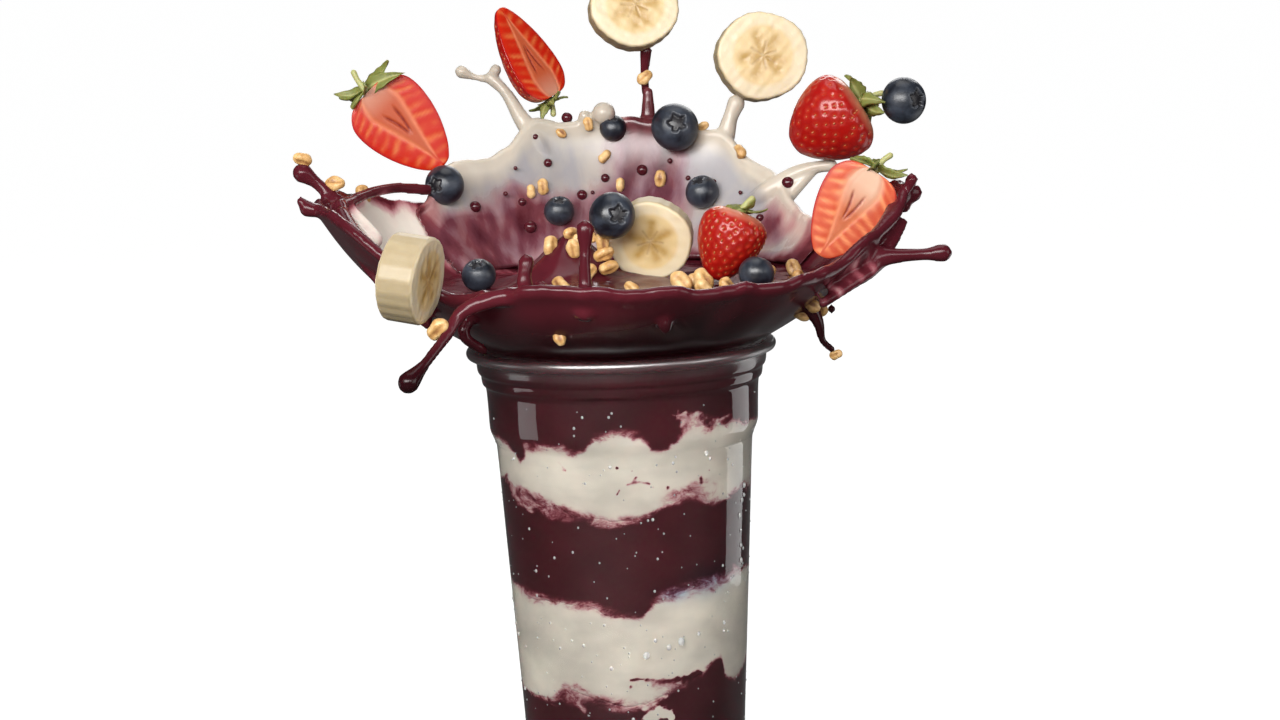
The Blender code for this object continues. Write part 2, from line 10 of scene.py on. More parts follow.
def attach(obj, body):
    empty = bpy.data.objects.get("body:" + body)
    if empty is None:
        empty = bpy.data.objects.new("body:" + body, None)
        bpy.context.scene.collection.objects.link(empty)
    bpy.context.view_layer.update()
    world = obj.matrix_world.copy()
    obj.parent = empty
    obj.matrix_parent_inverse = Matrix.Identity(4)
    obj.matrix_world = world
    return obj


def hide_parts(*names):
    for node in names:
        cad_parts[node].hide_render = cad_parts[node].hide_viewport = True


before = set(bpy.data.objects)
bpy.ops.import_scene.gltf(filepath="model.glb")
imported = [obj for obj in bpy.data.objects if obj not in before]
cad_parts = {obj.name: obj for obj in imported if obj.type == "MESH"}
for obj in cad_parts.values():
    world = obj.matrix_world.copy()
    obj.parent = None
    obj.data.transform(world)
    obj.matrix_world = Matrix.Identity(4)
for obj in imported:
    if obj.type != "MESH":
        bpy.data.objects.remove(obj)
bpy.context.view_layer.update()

# The cup. About 700 ml, drawn from one sheet of clear plastic, so that its wall is under a millimetre thick.
# It has a rolled rim, two shallow stacking rings and a shoulder below it, and a flat foot. It bears no print.
OUTER_WALL = [
    (26.0, 0.0), (31.6, 0.0), (33.3, 0.9), (33.9, 3.2), (34.3, 10.0), (35.5, 34.0), (37.2, 63.0),
    (38.9, 92.0), (40.4, 118.0), (41.0, 122.0), (42.3, 125.4), (42.6, 127.6), (42.8, 133.0), (43.1, 138.2),
    (43.5, 139.8), (44.25, 140.7), (44.5, 142.0), (44.7, 143.4), (45.45, 144.4), (45.75, 145.6),
    (45.95, 147.6), (46.4, 148.6), (47.6, 148.7), (48.6, 149.2), (49.0, 150.3), (48.7, 151.3), (47.9, 151.9),
    (46.7, 152.0), (45.7, 151.6), (45.15, 150.9),
]
INNER_WALL = [
    (45.0, 148.5), (44.75, 145.6), (44.4, 144.2), (43.8, 143.2), (43.6, 142.0), (43.3, 141.0), (42.6, 140.0),
    (42.2, 138.6), (41.9, 133.0), (41.7, 127.4), (41.4, 125.6), (40.2, 122.0), (39.5, 118.0), (38.0, 92.0),
    (36.3, 63.0), (34.6, 34.0), (33.4, 10.0), (32.8, 4.0), (31.4, 2.1), (26.0, 1.8),
]
ROLL_START = 45.6
ROLL_FULL = 46.4


def smooth_path(points, per_leg):
    """A curve through the points: in each leg a cubic whose slope at a point is half the step between the
    point's two neighbours."""
    given = np.array(points, float)
    padded = np.concatenate([2 * given[:1] - given[1:2], given, 2 * given[-1:] - given[-2:-1]])
    a, b, c, d = padded[:-3], padded[1:-2], padded[2:-1], padded[3:]
    t = np.linspace(0, 1, per_leg, endpoint=False)[:, None, None]
    legs = b + 0.5 * ((c - a) * t + (2 * a - 5 * b + 4 * c - d) * t**2 + (3 * b - a - 3 * c + d) * t**3)
    return np.concatenate([legs.transpose(1, 0, 2).reshape(-1, given.shape[1]), given[-1:]])


def closed_rings(rings, first, last):
    """Points and faces of a closed surface: rings of equal count joined in order, and a fan to one point at
    each end. The rings run up the outside, and the points of a ring run anticlockwise seen from above."""
    rows, columns = rings.shape[:2]
    points = np.concatenate([rings.reshape(-1, 3), np.array([first, last], float)])
    turn = np.arange(columns)
    ahead = (turn + 1) % columns
    low = (np.arange(rows - 1) * columns)[:, None]
    sides = np.stack([low + turn, low + ahead, low + columns + ahead, low + columns + turn], -1)
    over = (rows - 1) * columns
    start = np.stack([ahead, turn, np.full(columns, rows * columns)], 1)
    end = np.stack([over + turn, over + ahead, np.full(columns, rows * columns + 1)], 1)
    return points, sides.reshape(-1, 4).tolist() + start.tolist() + end.tolist()


def around_axis(radius, angle, height):
    """Points at a radius, an angle and a height."""
    radius, angle, height = np.broadcast_arrays(radius, angle, height)
    return np.stack([radius * np.cos(angle), radius * np.sin(angle), height], -1)


def turned(profile, columns):
    """A profile of (radius, height) carried once round the axis."""
    angle = np.linspace(0, 2 * np.pi, columns, endpoint=False)
    radius, height = np.array(profile).T[:, :, None]
    return closed_rings(around_axis(radius, angle, height), (0, 0, profile[0][1]), (0, 0, profile[-1][1]))


def piece_of(name, mesh, look, finish, *nodes):
    """Shows a mesh as a piece that rides on the cup, with its material and the nodes that it stands for. Its
    finish is not used."""
    mesh.shade_smooth()
    mesh.materials.clear()
    mesh.materials.append(look)
    made = bpy.data.objects.new(name, mesh)
    bpy.context.scene.collection.objects.link(made)
    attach(made, "root")
    if nodes:
        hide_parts(*nodes)


def mesh_of(name, points, faces, **marks):
    """A mesh from points in millimetres, with a number at each point for each named mark."""
    mesh = bpy.data.meshes.new(name)
    mesh.from_pydata(np.asarray(points) * 0.001, [], faces)
    for mark, values in marks.items():
        kept = mesh.attributes.new(mark, "FLOAT", "POINT")
        kept.data.foreach_set("value", np.asarray(values, np.float32).ravel())
    mesh.update()
    return mesh


def shader_of(name, **values):
    """A material's node tree and its shader, given the numbers that are the same all over it."""
    look = bpy.data.materials.new(name)
    look.use_nodes = True
    shader = look.node_tree.nodes["Principled BSDF"]
    for socket, value in values.items():
        shader.inputs[socket.replace("_", " ")].default_value = value
    return look, look.node_tree, shader


def node(tree, kind, inputs=None, **settings):
    """A node with its settings; each input is a number, a colour or another node's socket."""
    made = tree.nodes.new("ShaderNode" + kind)
    for setting, value in settings.items():
        setattr(made, setting, value)
    for socket, value in (inputs or {}).items():
        if isinstance(value, bpy.types.NodeSocket):
            tree.links.new(value, made.inputs[socket])
        else:
            made.inputs[socket].default_value = value
    return made


def sum_of(tree, operation, *values):
    """One Math node over numbers and sockets."""
    return node(tree, "Math", dict(enumerate(values)), operation=operation).outputs[0]


def noise_of(tree, scale, detail=2.0, place=None, **more):
    """Noise over the object's own coordinates, or over a place that is given."""
    if place is None:
        place = node(tree, "TexCoord").outputs["Object"]
    return node(tree, "TexNoise", {0: place, "Scale": scale, "Detail": detail, **more}).outputs[0]


def ranged(tree, value, start, stop, low=0.0, high=1.0):
    """A value that runs from low to high, made to run from start to stop."""
    return node(tree, "MapRange", {0: value, 1: low, 2: high, 3: start, 4: stop}).outputs[0]


def mark_of(tree, name):
    """The number that the mesh keeps at each point under a name."""
    return node(tree, "Attribute", attribute_name=name).outputs["Fac"]


def relief_of(tree, height, strength, depth):
    """A normal from a height whose relief is depth metres."""
    return node(tree, "Bump", {"Height": height, "Strength": strength, "Distance": depth}).outputs[0]


def feed(tree, shader, **sources):
    """Links each source to the shader's socket of that name."""
    for socket, source in sources.items():
        tree.links.new(source, shader.inputs[socket.replace("_", " ")])


cup_look, cup_tree, cup_shader = shader_of(
    "clear_plastic", Base_Color=(0.97, 0.98, 0.98, 1), Transmission_Weight=1.0, IOR=1.57,
    Coat_Roughness=0.35, Coat_IOR=2.1,
)
place = node(cup_tree, "TexCoord").outputs["Object"]
drawn = node(cup_tree, "Mapping", {0: place, "Scale": (1, 1, 0.25)}).outputs[0]
waves = noise_of(cup_tree, 110.0, 3.0, drawn)
rolled = mark_of(cup_tree, "rolled")
haze = sum_of(cup_tree, "MULTIPLY_ADD", rolled, 0.36, ranged(cup_tree, waves, 0.015, 0.06, 0.3, 0.7))
wavy = relief_of(cup_tree, waves, 0.12, 0.0006)
feed(cup_tree, cup_shader, Normal=wavy, Roughness=haze, Coat_Weight=rolled)
cup_points, cup_faces = turned(np.concatenate([smooth_path(OUTER_WALL, 5), smooth_path(INNER_WALL, 5)]), 256)
out = np.hypot(cup_points[:, 0], cup_points[:, 1])
rolled = np.clip((out - ROLL_START) / (ROLL_FULL - ROLL_START), 0, 1)
cup_mesh = mesh_of("clear_cup", cup_points, cup_faces, rolled=rolled)
piece_of("clear_cup", cup_mesh, cup_look, "clear_plastic", "cup")

# The layers in the cup. Blended frozen acai and sweet cream, spooned in one over the other, so that each seam
# is a wavy line where the two run into each other as pink and mauve streaks. Each fills the cup to its wall.
SEAM_LOW = [
    (0, 50), (30, 50), (60, 47), (120, 50), (160, 47), (192, 44.3), (204, 42.7), (220, 43.3), (227, 43.1),
    (231, 46), (234, 48), (238, 47), (246, 46), (251, 44.6), (258, 43.7), (264, 42.7), (269, 42.3),
    (279, 44.2), (286, 45.8), (290, 46.8), (296, 48.2), (301, 49.9), (309, 51.7), (317, 54.3), (320, 54.9),
    (321.5, 49.5), (325, 47), (335, 46.2), (348, 49),
]
SEAM_MIDDLE = [
    (0, 79), (70, 81), (140, 77), (180, 79), (201, 77.9), (209, 75.9), (220, 74.8), (231, 75.1), (245, 74.9),
    (252, 74.5), (255, 72.9), (260, 71.3), (273, 71.1), (277, 72.3), (284, 76), (294, 77.5), (302, 78.5),
    (309, 79.3), (316, 80.4), (325, 81.6), (335, 80.6),
]
SEAM_HIGH = [
    (0, 106), (80, 104), (150, 109), (193, 111.5), (202, 112.8), (206, 110.7), (218, 107.6), (228, 106.5),
    (242, 104), (254, 102.7), (263, 101.7), (276, 102.7), (285, 105.4), (291, 106.6), (295, 106.9),
    (297, 108.7), (300, 110), (304, 108), (310, 105), (315, 104.4), (321, 104.4), (326, 106), (333, 107.1),
]
SEAM_TOP = [
    (0, 126), (60, 129), (120, 124), (170, 127), (205, 124.7), (211, 123.4), (214, 119.6), (219, 119.8),
    (223, 123.7), (234, 125), (242, 124.7), (247, 122.4), (253, 123.2), (257, 127), (264, 129.3),
    (269, 129.6), (276, 129), (279, 126.7), (281.5, 123.6), (288, 123.6), (293, 125.2), (296, 127.6),
    (300, 130.8), (307, 129), (318, 128.8), (327, 129), (347, 126.7),
]
# Streaks at the wall: (bearing, height) points, width, and how deep in the acai they are, in millimetres
STREAKS = [
    ([(270.6, 113.1), (275.6, 113.8), (280.5, 113.0)], 0.7, 2.2),
    ([(265.9, 109.9), (267.2, 111.6)], 0.6, 0.8),
    ([(266.5, 118.4)], 0.9, 4.0), ([(273.0, 117.3)], 0.6, 2.5), ([(274.7, 115.3)], 0.5, 2.5),
    ([(288.8, 111.5)], 0.6, 2.5), ([(305.7, 112.9)], 0.7, 2.5), ([(310.4, 115.0)], 0.5, 2.0),
    ([(240.2, 119.8), (242.7, 117.6)], 0.6, 1.2), ([(268.7, 49.1)], 0.8, 3.0),
    ([(268.3, 51.1), (273.3, 51.3), (280.8, 50.6), (287.5, 49.9), (292.3, 50.5)], 0.8, 3.0),
    ([(291, 50.0), (297, 50.2), (303, 51.0)], 0.9, 2.5),
    ([(311.1, 124.5), (304.0, 128.3), (300.0, 131.0), (295.5, 133.0)], 2.0, -1.2),
    ([(301.1, 129.9), (301.8, 133.5)], 1.1, -0.8), ([(296.0, 133.3), (291.0, 134.0)], 0.9, -0.2),
    ([(276.7, 38.9), (283.0, 40.1), (289.3, 38.1)], 1.9, -5.0), ([(313, 130.6), (320, 131.4)], 0.8, -0.2),
    ([(234.0, 47.9), (238.5, 44.9), (243.7, 40.4)], 1.3, -0.4),
    ([(206, 108.5), (214, 106), (221, 103.6)], 1.2, -0.3),
    ([(40, 60), (52, 62), (63, 59)], 0.8, 3.0), ([(95, 118), (108, 115), (118, 117)], 0.9, 3.0),
    ([(150, 64), (158, 67), (170, 66)], 0.7, 3.0), ([(20, 121), (32, 117)], 0.7, 3.0),
]
# Where a seam is smeared: bearing, height, half width along the wall and half height in millimetres, share
SMEARS = [
    (216, 107.5, 10, 4.0, 1.0), (238, 103.6, 9, 3.0, 0.9), (262, 101.5, 8, 2.0, 0.6), (300, 109, 9, 3.4, 1.0),
    (314, 112, 8, 5.0, 0.8), (274, 113.6, 5.5, 3.2, 0.72), (306, 78.5, 14, 3.6, 1.0), (322, 80, 9, 3.2, 0.8),
    (238, 45, 6, 4.5, 1.0), (213, 76, 10, 2.6, 0.7), (250, 74.5, 10, 1.8, 0.5), (282, 49, 9, 2.8, 0.7),
    (262, 43.6, 9, 3.0, 0.8), (240, 119, 4, 3.4, 0.4), (303, 131, 7, 3.5, 0.7), (268, 129.5, 8, 1.6, 0.35),
    (232, 124.5, 10, 1.8, 0.5), (60, 104, 16, 3.5, 0.9), (130, 78, 18, 3.5, 0.8), (20, 51, 14, 3.5, 0.8),
    (110, 125, 15, 3.0, 0.7), (165, 48, 14, 3.5, 0.8), (350, 107, 10, 3.0, 0.8),
]
# Where the acai has turned the cream blue-grey: bearing, height, half width and half height
MARBLED = [(311, 81, 11, 4.5), (292, 78, 6, 2.5), (130, 77, 14, 4)]
# From cream through pink to acai: how far along, and the colour
SWIRL_COLOURS = [
    (0.0, (0.78, 0.725, 0.64, 1)), (0.26, (0.74, 0.655, 0.585, 1)), (0.46, (0.57, 0.31, 0.32, 1)),
    (0.60, (0.29, 0.075, 0.095, 1)), (0.75, (0.112, 0.015, 0.024, 1)), (1.0, (0.068, 0.0080, 0.0135, 1)),
]
LAYER_COLUMNS = 480
LAYER_ROWS = 56
INTO_THE_WALL = 0.3
WALL_RADIUS = 40
DEEP = 9.0


def round_table(table, degrees, blur=0.0):
    """The values of (degrees, value) pairs at other angles, closed on themselves, averaged over a bell of
    angles that is blur degrees wide."""
    knots = np.array(table, float)
    shifts = np.linspace(-2.0, 2.0, 9)
    weights = np.exp(-(shifts**2) / 2)
    angles = np.asarray(degrees)[..., None] + shifts * blur
    return (np.interp(angles, knots[:, 0], knots[:, 1], period=360) * weights).sum(-1) / weights.sum()


def ripples(points, size, seed):
    """Soft unevenness between about -1 and 1: the mean of ten sine waves, size millimetres long, that run in
    seeded directions."""
    draw = np.random.default_rng(seed)
    ways = draw.normal(size=(10, 3))
    ways /= np.linalg.norm(ways, axis=1, keepdims=True) * size * draw.uniform(0.7, 1.5, (10, 1))
    turns = np.asarray(points) @ ways.T + draw.uniform(0, 1, 10)
    return np.sin(2 * np.pi * turns).mean(-1) * 2.2


def cup_radius(height):
    """The cup's inner radius at a height, read off its inner wall."""
    wall = np.array(INNER_WALL[::-1])
    return np.interp(height, wall[:, 1], wall[:, 0])


def swirl_group():
    """Acai and cream run into each other. The depth into the acai, in millimetres and negative in the cream,
    is shifted by two sizes of warped noise, and the sum picks a colour from cream through pink to acai."""
    tree = bpy.data.node_groups.new("acai_and_cream", "ShaderNodeTree")
    for name, start in (("Depth", 0.0), ("Spread", 2.0), ("Softness", 1.0)):
        tree.interface.new_socket(name, in_out="INPUT", socket_type="NodeSocketFloat").default_value = start
    tree.interface.new_socket("Place", in_out="INPUT", socket_type="NodeSocketVector")
    tree.interface.new_socket("Color", in_out="OUTPUT", socket_type="NodeSocketColor")
    tree.interface.new_socket("Cream", in_out="OUTPUT", socket_type="NodeSocketFloat")
    tree.interface.new_socket("Height", in_out="OUTPUT", socket_type="NodeSocketFloat")
    given = tree.nodes.new("NodeGroupInput").outputs
    put_out = tree.nodes.new("NodeGroupOutput").inputs
    blots = noise_of(tree, 120.0, 5.0, given["Place"], Roughness=0.62, Distortion=0.9)
    feathers = noise_of(tree, 330.0, 6.0, given["Place"], Roughness=0.7, Distortion=1.6)
    wide = sum_of(tree, "MULTIPLY_ADD", blots, 2.0, -1.0)
    fine = sum_of(tree, "MULTIPLY_ADD", feathers, 0.6, -0.3)
    shift = sum_of(tree, "MULTIPLY", sum_of(tree, "ADD", fine, wide), given["Spread"])
    deep = sum_of(tree, "ADD", given["Depth"], shift)
    part = sum_of(tree, "MULTIPLY_ADD", deep, sum_of(tree, "DIVIDE", 0.5, given["Softness"]), 0.5)
    ramp = node(tree, "ValToRGB", {0: part})
    band = ramp.color_ramp
    for _ in SWIRL_COLOURS[2:]:
        band.elements.new(0.5)
    for stop, (at, colour) in zip(band.elements, SWIRL_COLOURS):
        stop.position = at
        stop.color = colour
    cloud = ranged(tree, noise_of(tree, 45.0, 4.0, given["Place"]), 0.78, 1.1, 0.35, 0.7)
    tone = node(tree, "VectorMath", {0: ramp.outputs[0], 3: cloud}, operation="SCALE").outputs[0]
    tree.links.new(tone, put_out["Color"])
    tree.links.new(ranged(tree, part, 0.0, 1.0, 0.62, 0.3), put_out["Cream"])
    tree.links.new(feathers, put_out["Height"])
    return tree


swirl = swirl_group()


def swirled_look(name, thrown, spread, softness, gloss, relief, **values):
    """A material of acai and cream whose depth into the acai is marked on the mesh. Its streaks lie level in
    the cup. Where it was thrown up, they follow the flow that is marked on the mesh. Gloss is the roughness
    of the acai and that of the cream. A smeared seam is wider and softer."""
    look, tree, shader = shader_of(name, **values)
    if thrown:
        place = node(tree, "Attribute", attribute_name="flow").outputs["Vector"]
    else:
        place = node(tree, "TexCoord").outputs["Object"]
        place = node(tree, "Mapping", {0: place, "Scale": (1, 1, 1.7)}).outputs[0]
    smear = mark_of(tree, "smear")
    inputs = {
        "Place": place,
        "Depth": mark_of(tree, "depth"),
        "Spread": sum_of(tree, "MULTIPLY_ADD", smear, 5.0, spread),
        "Softness": sum_of(tree, "MULTIPLY_ADD", smear, 4.0, softness),
    }
    swirled = node(tree, "Group", inputs, node_tree=swirl).outputs
    rough = ranged(tree, swirled["Cream"], *gloss)
    bumpy = relief_of(tree, swirled["Height"], relief, 0.0004)
    feed(tree, shader, Base_Color=swirled["Color"], Roughness=rough, Normal=bumpy)
    return look, tree, shader, swirled["Color"]


def blend(tree, share, under, over, way="MIX"):
    """Two colours mixed by a share of the second."""
    inputs = {0: share, 6: under, 7: over}
    return node(tree, "Mix", inputs, data_type="RGBA", blend_type=way).outputs[2]


filling_look, filling_tree, filling_shader, filling_colour = swirled_look(
    "cup_filling", thrown=False, spread=3.0, softness=1.4, gloss=(0.4, 0.5), relief=0.06, IOR=1.36,
    Specular_IOR_Level=0.1, Subsurface_Weight=0.12, Subsurface_Scale=0.002, Subsurface_Radius=(1.0, 0.5, 0.4),
)
blued = node(filling_tree, "VectorMath", {0: filling_colour, 1: (0.62, 0.86, 1.15)}, operation="MULTIPLY")
filled = blend(filling_tree, mark_of(filling_tree, "marbled"), filling_colour, blued.outputs[0])
feed(filling_tree, filling_shader, Base_Color=filled)


def layer_points(low, high):
    """Rings of one layer: out along its underside, up the wall, and in along its top. At a share of the way
    out, a seam's height is its mean height plus that share squared times its rise from there at the wall."""
    angle = np.linspace(0, 2 * np.pi, LAYER_COLUMNS, endpoint=False)
    share = np.array([0.12, 0.3, 0.5, 0.7, 0.86, 0.96])[:, None]
    under = low.mean() + (low - low.mean()) * share**2
    over = high.mean() + (high - high.mean()) * share[::-1] ** 2
    wall = low + np.linspace(0, 1, LAYER_ROWS)[:, None] * (high - low)
    height = np.concatenate([under, wall, over])
    reach = np.concatenate([share + 0 * low, np.ones(wall.shape), share[::-1] + 0 * low])
    rings = around_axis(reach * (cup_radius(height) + INTO_THE_WALL), angle, height)
    low_gap = np.maximum(height - low, 0)
    high_gap = np.maximum(high - height, 0)
    return rings, low_gap, high_gap


def wall_patch(points, along, bearing, height, wide, tall):
    """A bell on the cup's wall: e to the power of minus the squares of the ways to its middle, round the wall
    and up it, each over the bell's half size."""
    half_round = np.pi * WALL_RADIUS
    aside = (along - np.radians(bearing) * WALL_RADIUS + half_round) % (2 * half_round) - half_round
    return np.exp(-((aside / wide) ** 2) - ((points[:, 2] - height) / tall) ** 2)


def streaked(points, depth):
    """The depth with each streak drawn in, weighted by a bell across its width, and at each point how much
    the seam is smeared and how much the cream is marbled."""
    along = np.radians(np.degrees(np.arctan2(points[:, 1], points[:, 0])) % 360) * WALL_RADIUS
    at_wall = np.hypot(points[:, 0], points[:, 1]) > cup_radius(points[:, 2]) - 3
    for path, width, target in STREAKS:
        dense = smooth_path(path, 12) if len(path) > 1 else np.array(path, float)
        dense = dense * (np.radians(1) * WALL_RADIUS, 1)
        far = np.full(len(points), 99.0)
        near = np.flatnonzero(at_wall & (np.abs(points[:, 2] - dense[:, 1].mean()) < 14))
        gap = np.hypot(along[near, None] - dense[:, 0], points[near, 2:] - dense[:, 1])
        far[near] = gap.min(1) * (1 + 0.5 * ripples(points[near], 2.2, 6))
        depth = depth + (target - depth) * np.exp(-((far / width) ** 2))
    smear = np.zeros(len(points))
    for *patch, most in SMEARS:
        smear = np.maximum(smear, most * wall_patch(points, along, *patch))
    marbled = np.zeros(len(points))
    for patch in MARBLED:
        marbled = np.maximum(marbled, wall_patch(points, along, *patch))
    return depth * (1 - 0.75 * smear), smear, marbled


layer_degrees = np.arange(LAYER_COLUMNS) * 360 / LAYER_COLUMNS
layer_angle = np.radians(layer_degrees)
floor_inside = np.full(LAYER_COLUMNS, 1.5)
brim = np.full(LAYER_COLUMNS, 150.6)
seams = []
for seed, table in enumerate((SEAM_LOW, SEAM_MIDDLE, SEAM_HIGH, SEAM_TOP)):
    around = around_axis(WALL_RADIUS, layer_angle, 0)
    rough = 0.4 * ripples(around, 7, seed) + 0.22 * ripples(around, 2.6, seed + 10)
    seams.append(round_table(table, layer_degrees, 1.3) + rough)
LAYERS = (
    ("acai_layer_bottom", floor_inside, seams[0], 1, "acai", "acai_bottom"),
    ("cream_layer_lower", seams[0], seams[1], -1, "cream", "cream_lower"),
    ("acai_layer_middle", seams[1], seams[2], 1, "acai", "acai_middle"),
    ("cream_layer_upper", seams[2], seams[3], -1, "cream", "cream_upper"),
    ("acai_layer_top", seams[3], brim, 1, "acai", None),
)
for name, low, high, side, finish, stands_for in LAYERS:
    rings, low_gap, high_gap = layer_points(low, high)
    if low is floor_inside:
        low_gap = high_gap
    if high is brim:
        high_gap = low_gap
    gap = np.minimum(low_gap, high_gap)
    depth = np.append(side * gap.ravel(), [side * DEEP, side * DEEP])
    points, faces = closed_rings(rings, (0, 0, low.mean()), (0, 0, high.mean()))
    depth, smear, marbled = streaked(points, depth)
    mesh = mesh_of(name, points, faces, depth=depth, smear=smear, marbled=marbled)
    piece_of(name, mesh, filling_look, finish, *([stands_for] if stands_for else []))

# The acai crown. Thick purple acai thrown up out of the cup's mouth and frozen there: a thin wall that leans
# outward to a rolled rim, low at the front, with strands, fingers and ropes that end in drops, and the
# filling's surface inside it. Everything has run together, so it is one skin.
MOUTH = 152.0
NECK = 44.6
REACH = (69.0, 48.0)
LENGTH = (38.0, 34.0)
POOL = 18.2
LIP = 1.3
SWELL = 0.5
ACAI_RIM = [
    (4, 46), (11, 43), (19, 34), (30, 30), (44, 35), (60, 37), (70, 39), (75, 46), (79, 60), (82, 66),
    (85, 63), (91, 46), (97, 39), (120, 37), (140, 40), (147, 43), (159, 47), (180, 49), (200, 46),
    (208, 44), (215, 33), (227, 21), (243, 23), (250, 26), (263, 25), (275, 24), (289, 22), (304, 22),
    (315, 23), (333, 26), (346, 34), (356, 43),
]
ACAI_STRANDS = [
    ([(12.3, 83.3, 212), (11.9, 83.6, 220), (11.1, 83.3, 231), (11.9, 82.6, 240)], [3.4, 2.0, 1.5, 1.6, 2.2]),
    (
        [(-9.6, -68.6, 171), (-9.4, -69.4, 178), (-9.1, -69.2, 187), (-8.7, -68, 194.5)],
        [3.6, 2.5, 1.9, 1.8, 2.9],
    ),
    ([(-27, -62, 172), (-27.4, -60, 180), (-26.6, -58, 184.5)], [3.4, 2.6, 2.1, 2.6]),
    (
        [
            (-18, -66, 174.2), (-30, -66, 175.3), (-38, -65.5, 174.3), (-46, -66, 171),
            (-50.5, -70, 165), (-56.5, -76, 158), (-61.5, -80, 153),
        ],
        [2.4, 2.9, 2.7, 2.5, 2.1, 1.7, 1.7, 3.5],
    ),
    ([(-44, -50, 169), (-46.5, -54, 163), (-41, -50, 157.5)], [2.6, 1.8, 1.8]),
    (
        [(70, -24, 172), (80, -22, 177.5), (87, -22, 178.2), (94.7, -22, 178.3), (100.3, -22, 178.6)],
        [3.6, 3.4, 2.3, 1.9, 3.0],
    ),
    (
        [(58, -34, 170), (66, -30, 174), (75, -26, 180), (82, -18, 187), (86, -8, 192)],
        [1.8, 2.4, 2.4, 2.0, 1.6],
    ),
    (
        [(62, -36, 166), (70, -31, 170.5), (79, -24, 175), (86, -14, 182), (90, -6, 187)],
        [1.6, 2.1, 2.2, 1.7, 1.4],
    ),
    ([(84, 8, 187), (90, 7, 192.5), (94, 6, 195)], [3.0, 2.6, 3.2]),
    ([(88, 0, 193), (92, -2, 197.5), (93, -3, 200)], [2.0, 1.6, 2.2]),
    (
        [(-77, 3, 187), (-84, 5, 195.5), (-90, 5, 201.5), (-94.4, 5, 205.7), (-98.2, 5, 208.7)],
        [3.4, 2.8, 2.2, 1.9, 3.4],
    ),
    ([(-80, -16, 188), (-85, -15, 192.5), (-89.8, -15, 197), (-95, -15, 199)], [3.0, 2.1, 1.4, 2.8]),
    ([(-95, -15, 199), (-97, -15, 201.5)], [2.0, 1.6]),
    ([(-64, -22, 172), (-74, -18, 181), (-82, -10, 191), (-86.5, 0, 198.5)], [2.0, 2.6, 2.5, 2.1]),
    ([(-62, -30, 168), (-72, -26, 177), (-80, -18, 187), (-86, -6, 197)], [1.8, 2.3, 2.2, 1.8]),
    ([(-58, -36, 164), (-67, -33, 172), (-76, -26, 181), (-83, -16, 190)], [1.6, 2.1, 2.0, 1.6]),
    ([(-86, 2, 198), (-80, 18, 200), (-72, 34, 200.5), (-62, 47, 198.5)], [2.2, 1.9, 1.8, 2.0]),
    ([(58, -18, 165), (61.5, -19, 158), (62.5, -19.5, 152.5), (65.5, -19.5, 149.5)], [3.4, 1.9, 1.2, 1.3]),
]
# A drop that runs down the front, and lumps at the right tip and in the filling: centre and radius
FRONT_DROP = (13.7, -65.0, 165.2, 2.2)
CLUMPS = [
    (86.5, -3, 190.0, 2.1), (90.5, 2, 194.5, 2.2), (88.0, 6, 186.5, 2.0), (91.5, 5, 190.5, 1.8),
    (84.0, -9, 184.5, 1.9), (92.6, 1, 198.0, 1.7), (80.5, -16, 178.0, 1.8), (66.0, -14, 161.5, 1.6),
    (-24, -22, 172.5, 2.6), (-20, -26, 171.6, 2.2), (-30, -26, 171.8, 2.3), (-5, -32, 171.8, 2.1),
]
# Cream that clings to the wall's inside, and to its outside at the right, where its pink tint is partly a
# painted glow: share, centre and size each way
INNER_CREAM = [
    (1.25, (-76, 14, 190), (16, 20, 9)), (1.05, (-65, 32, 189), (18, 19, 9)),
    (0.62, (-55, 12, 180), (16, 26, 7)), (0.6, (-42, 38, 176), (16, 16, 7)),
    (0.62, (66, 14, 184), (16, 20, 10)), (0.52, (45, 22, 175), (22, 20, 6)), (0.5, (0, 40, 171), (40, 14, 4)),
]
OUTER_CREAM_AND_GLOW = [
    (0.66, (77, -29, 177), (9, 7, 6)), (0.5, (67, -36, 170), (11, 8, 6)), (0.42, (56, -46, 168), (9, 12, 5)),
]
# Painted glow where the front is thin, and painted shade where it is thick: share, centre and size each way
PAINTED_GLOW = [(1.3, (-10, -66, 171), (20, 22, 6))]
PAINTED_SHADOW = [(0.75, (26, -62, 164), (34, 24, 9))]


def crown_wall(height, angle, inward):
    """(radius, height above the mouth) of a surface that lies inward of the crown's outside. The outside's
    radius grows by reach times (1 - e to the power of minus height / length), and both shrink towards the
    back with the sine of the angle."""
    back = np.maximum(0, np.sin(angle))
    reach = REACH[0] + (REACH[1] - REACH[0]) * back
    length = LENGTH[0] + (LENGTH[1] - LENGTH[0]) * back
    fade = np.exp(-height / length)
    slope = reach / length * fade
    size = np.sqrt(1 + slope**2)
    return NECK + reach * (1 - fade) - inward / size, height + inward * slope / size


def wall_thickness(height):
    """Thick at the mouth, and falling off to the thickness of the thin wall above."""
    return 2.6 + 2.6 * np.exp(-height / 12)


def pool_height(x, y):
    """The filling's surface inside the crown: a low mound, a ridge that carries granola, and soft waves."""
    mound = 1.6 * np.exp(-(x**2 + y**2) / (2 * 26**2))
    ridge = 14.3 * np.exp(-((x + 15) ** 2) / (2 * 10**2) - (y - 3) ** 2 / (2 * 10**2))
    flat = np.stack([x, y, 0 * x], -1)
    waves = 0.7 * ripples(flat, 22, 3) + 0.45 * ripples(flat, 8, 4) + 0.15 * ripples(flat, 4, 5)
    return POOL + mound + ridge + waves


def wall_start(angle, thickness, level):
    """The height in the wall's formula at which its inner side stands at a level, for each angle."""
    tries = np.linspace(0, 40, 400)[:, None]
    real = crown_wall(tries, angle, thickness(tries))[1]
    return tries[np.argmax(real > level, axis=0), 0]


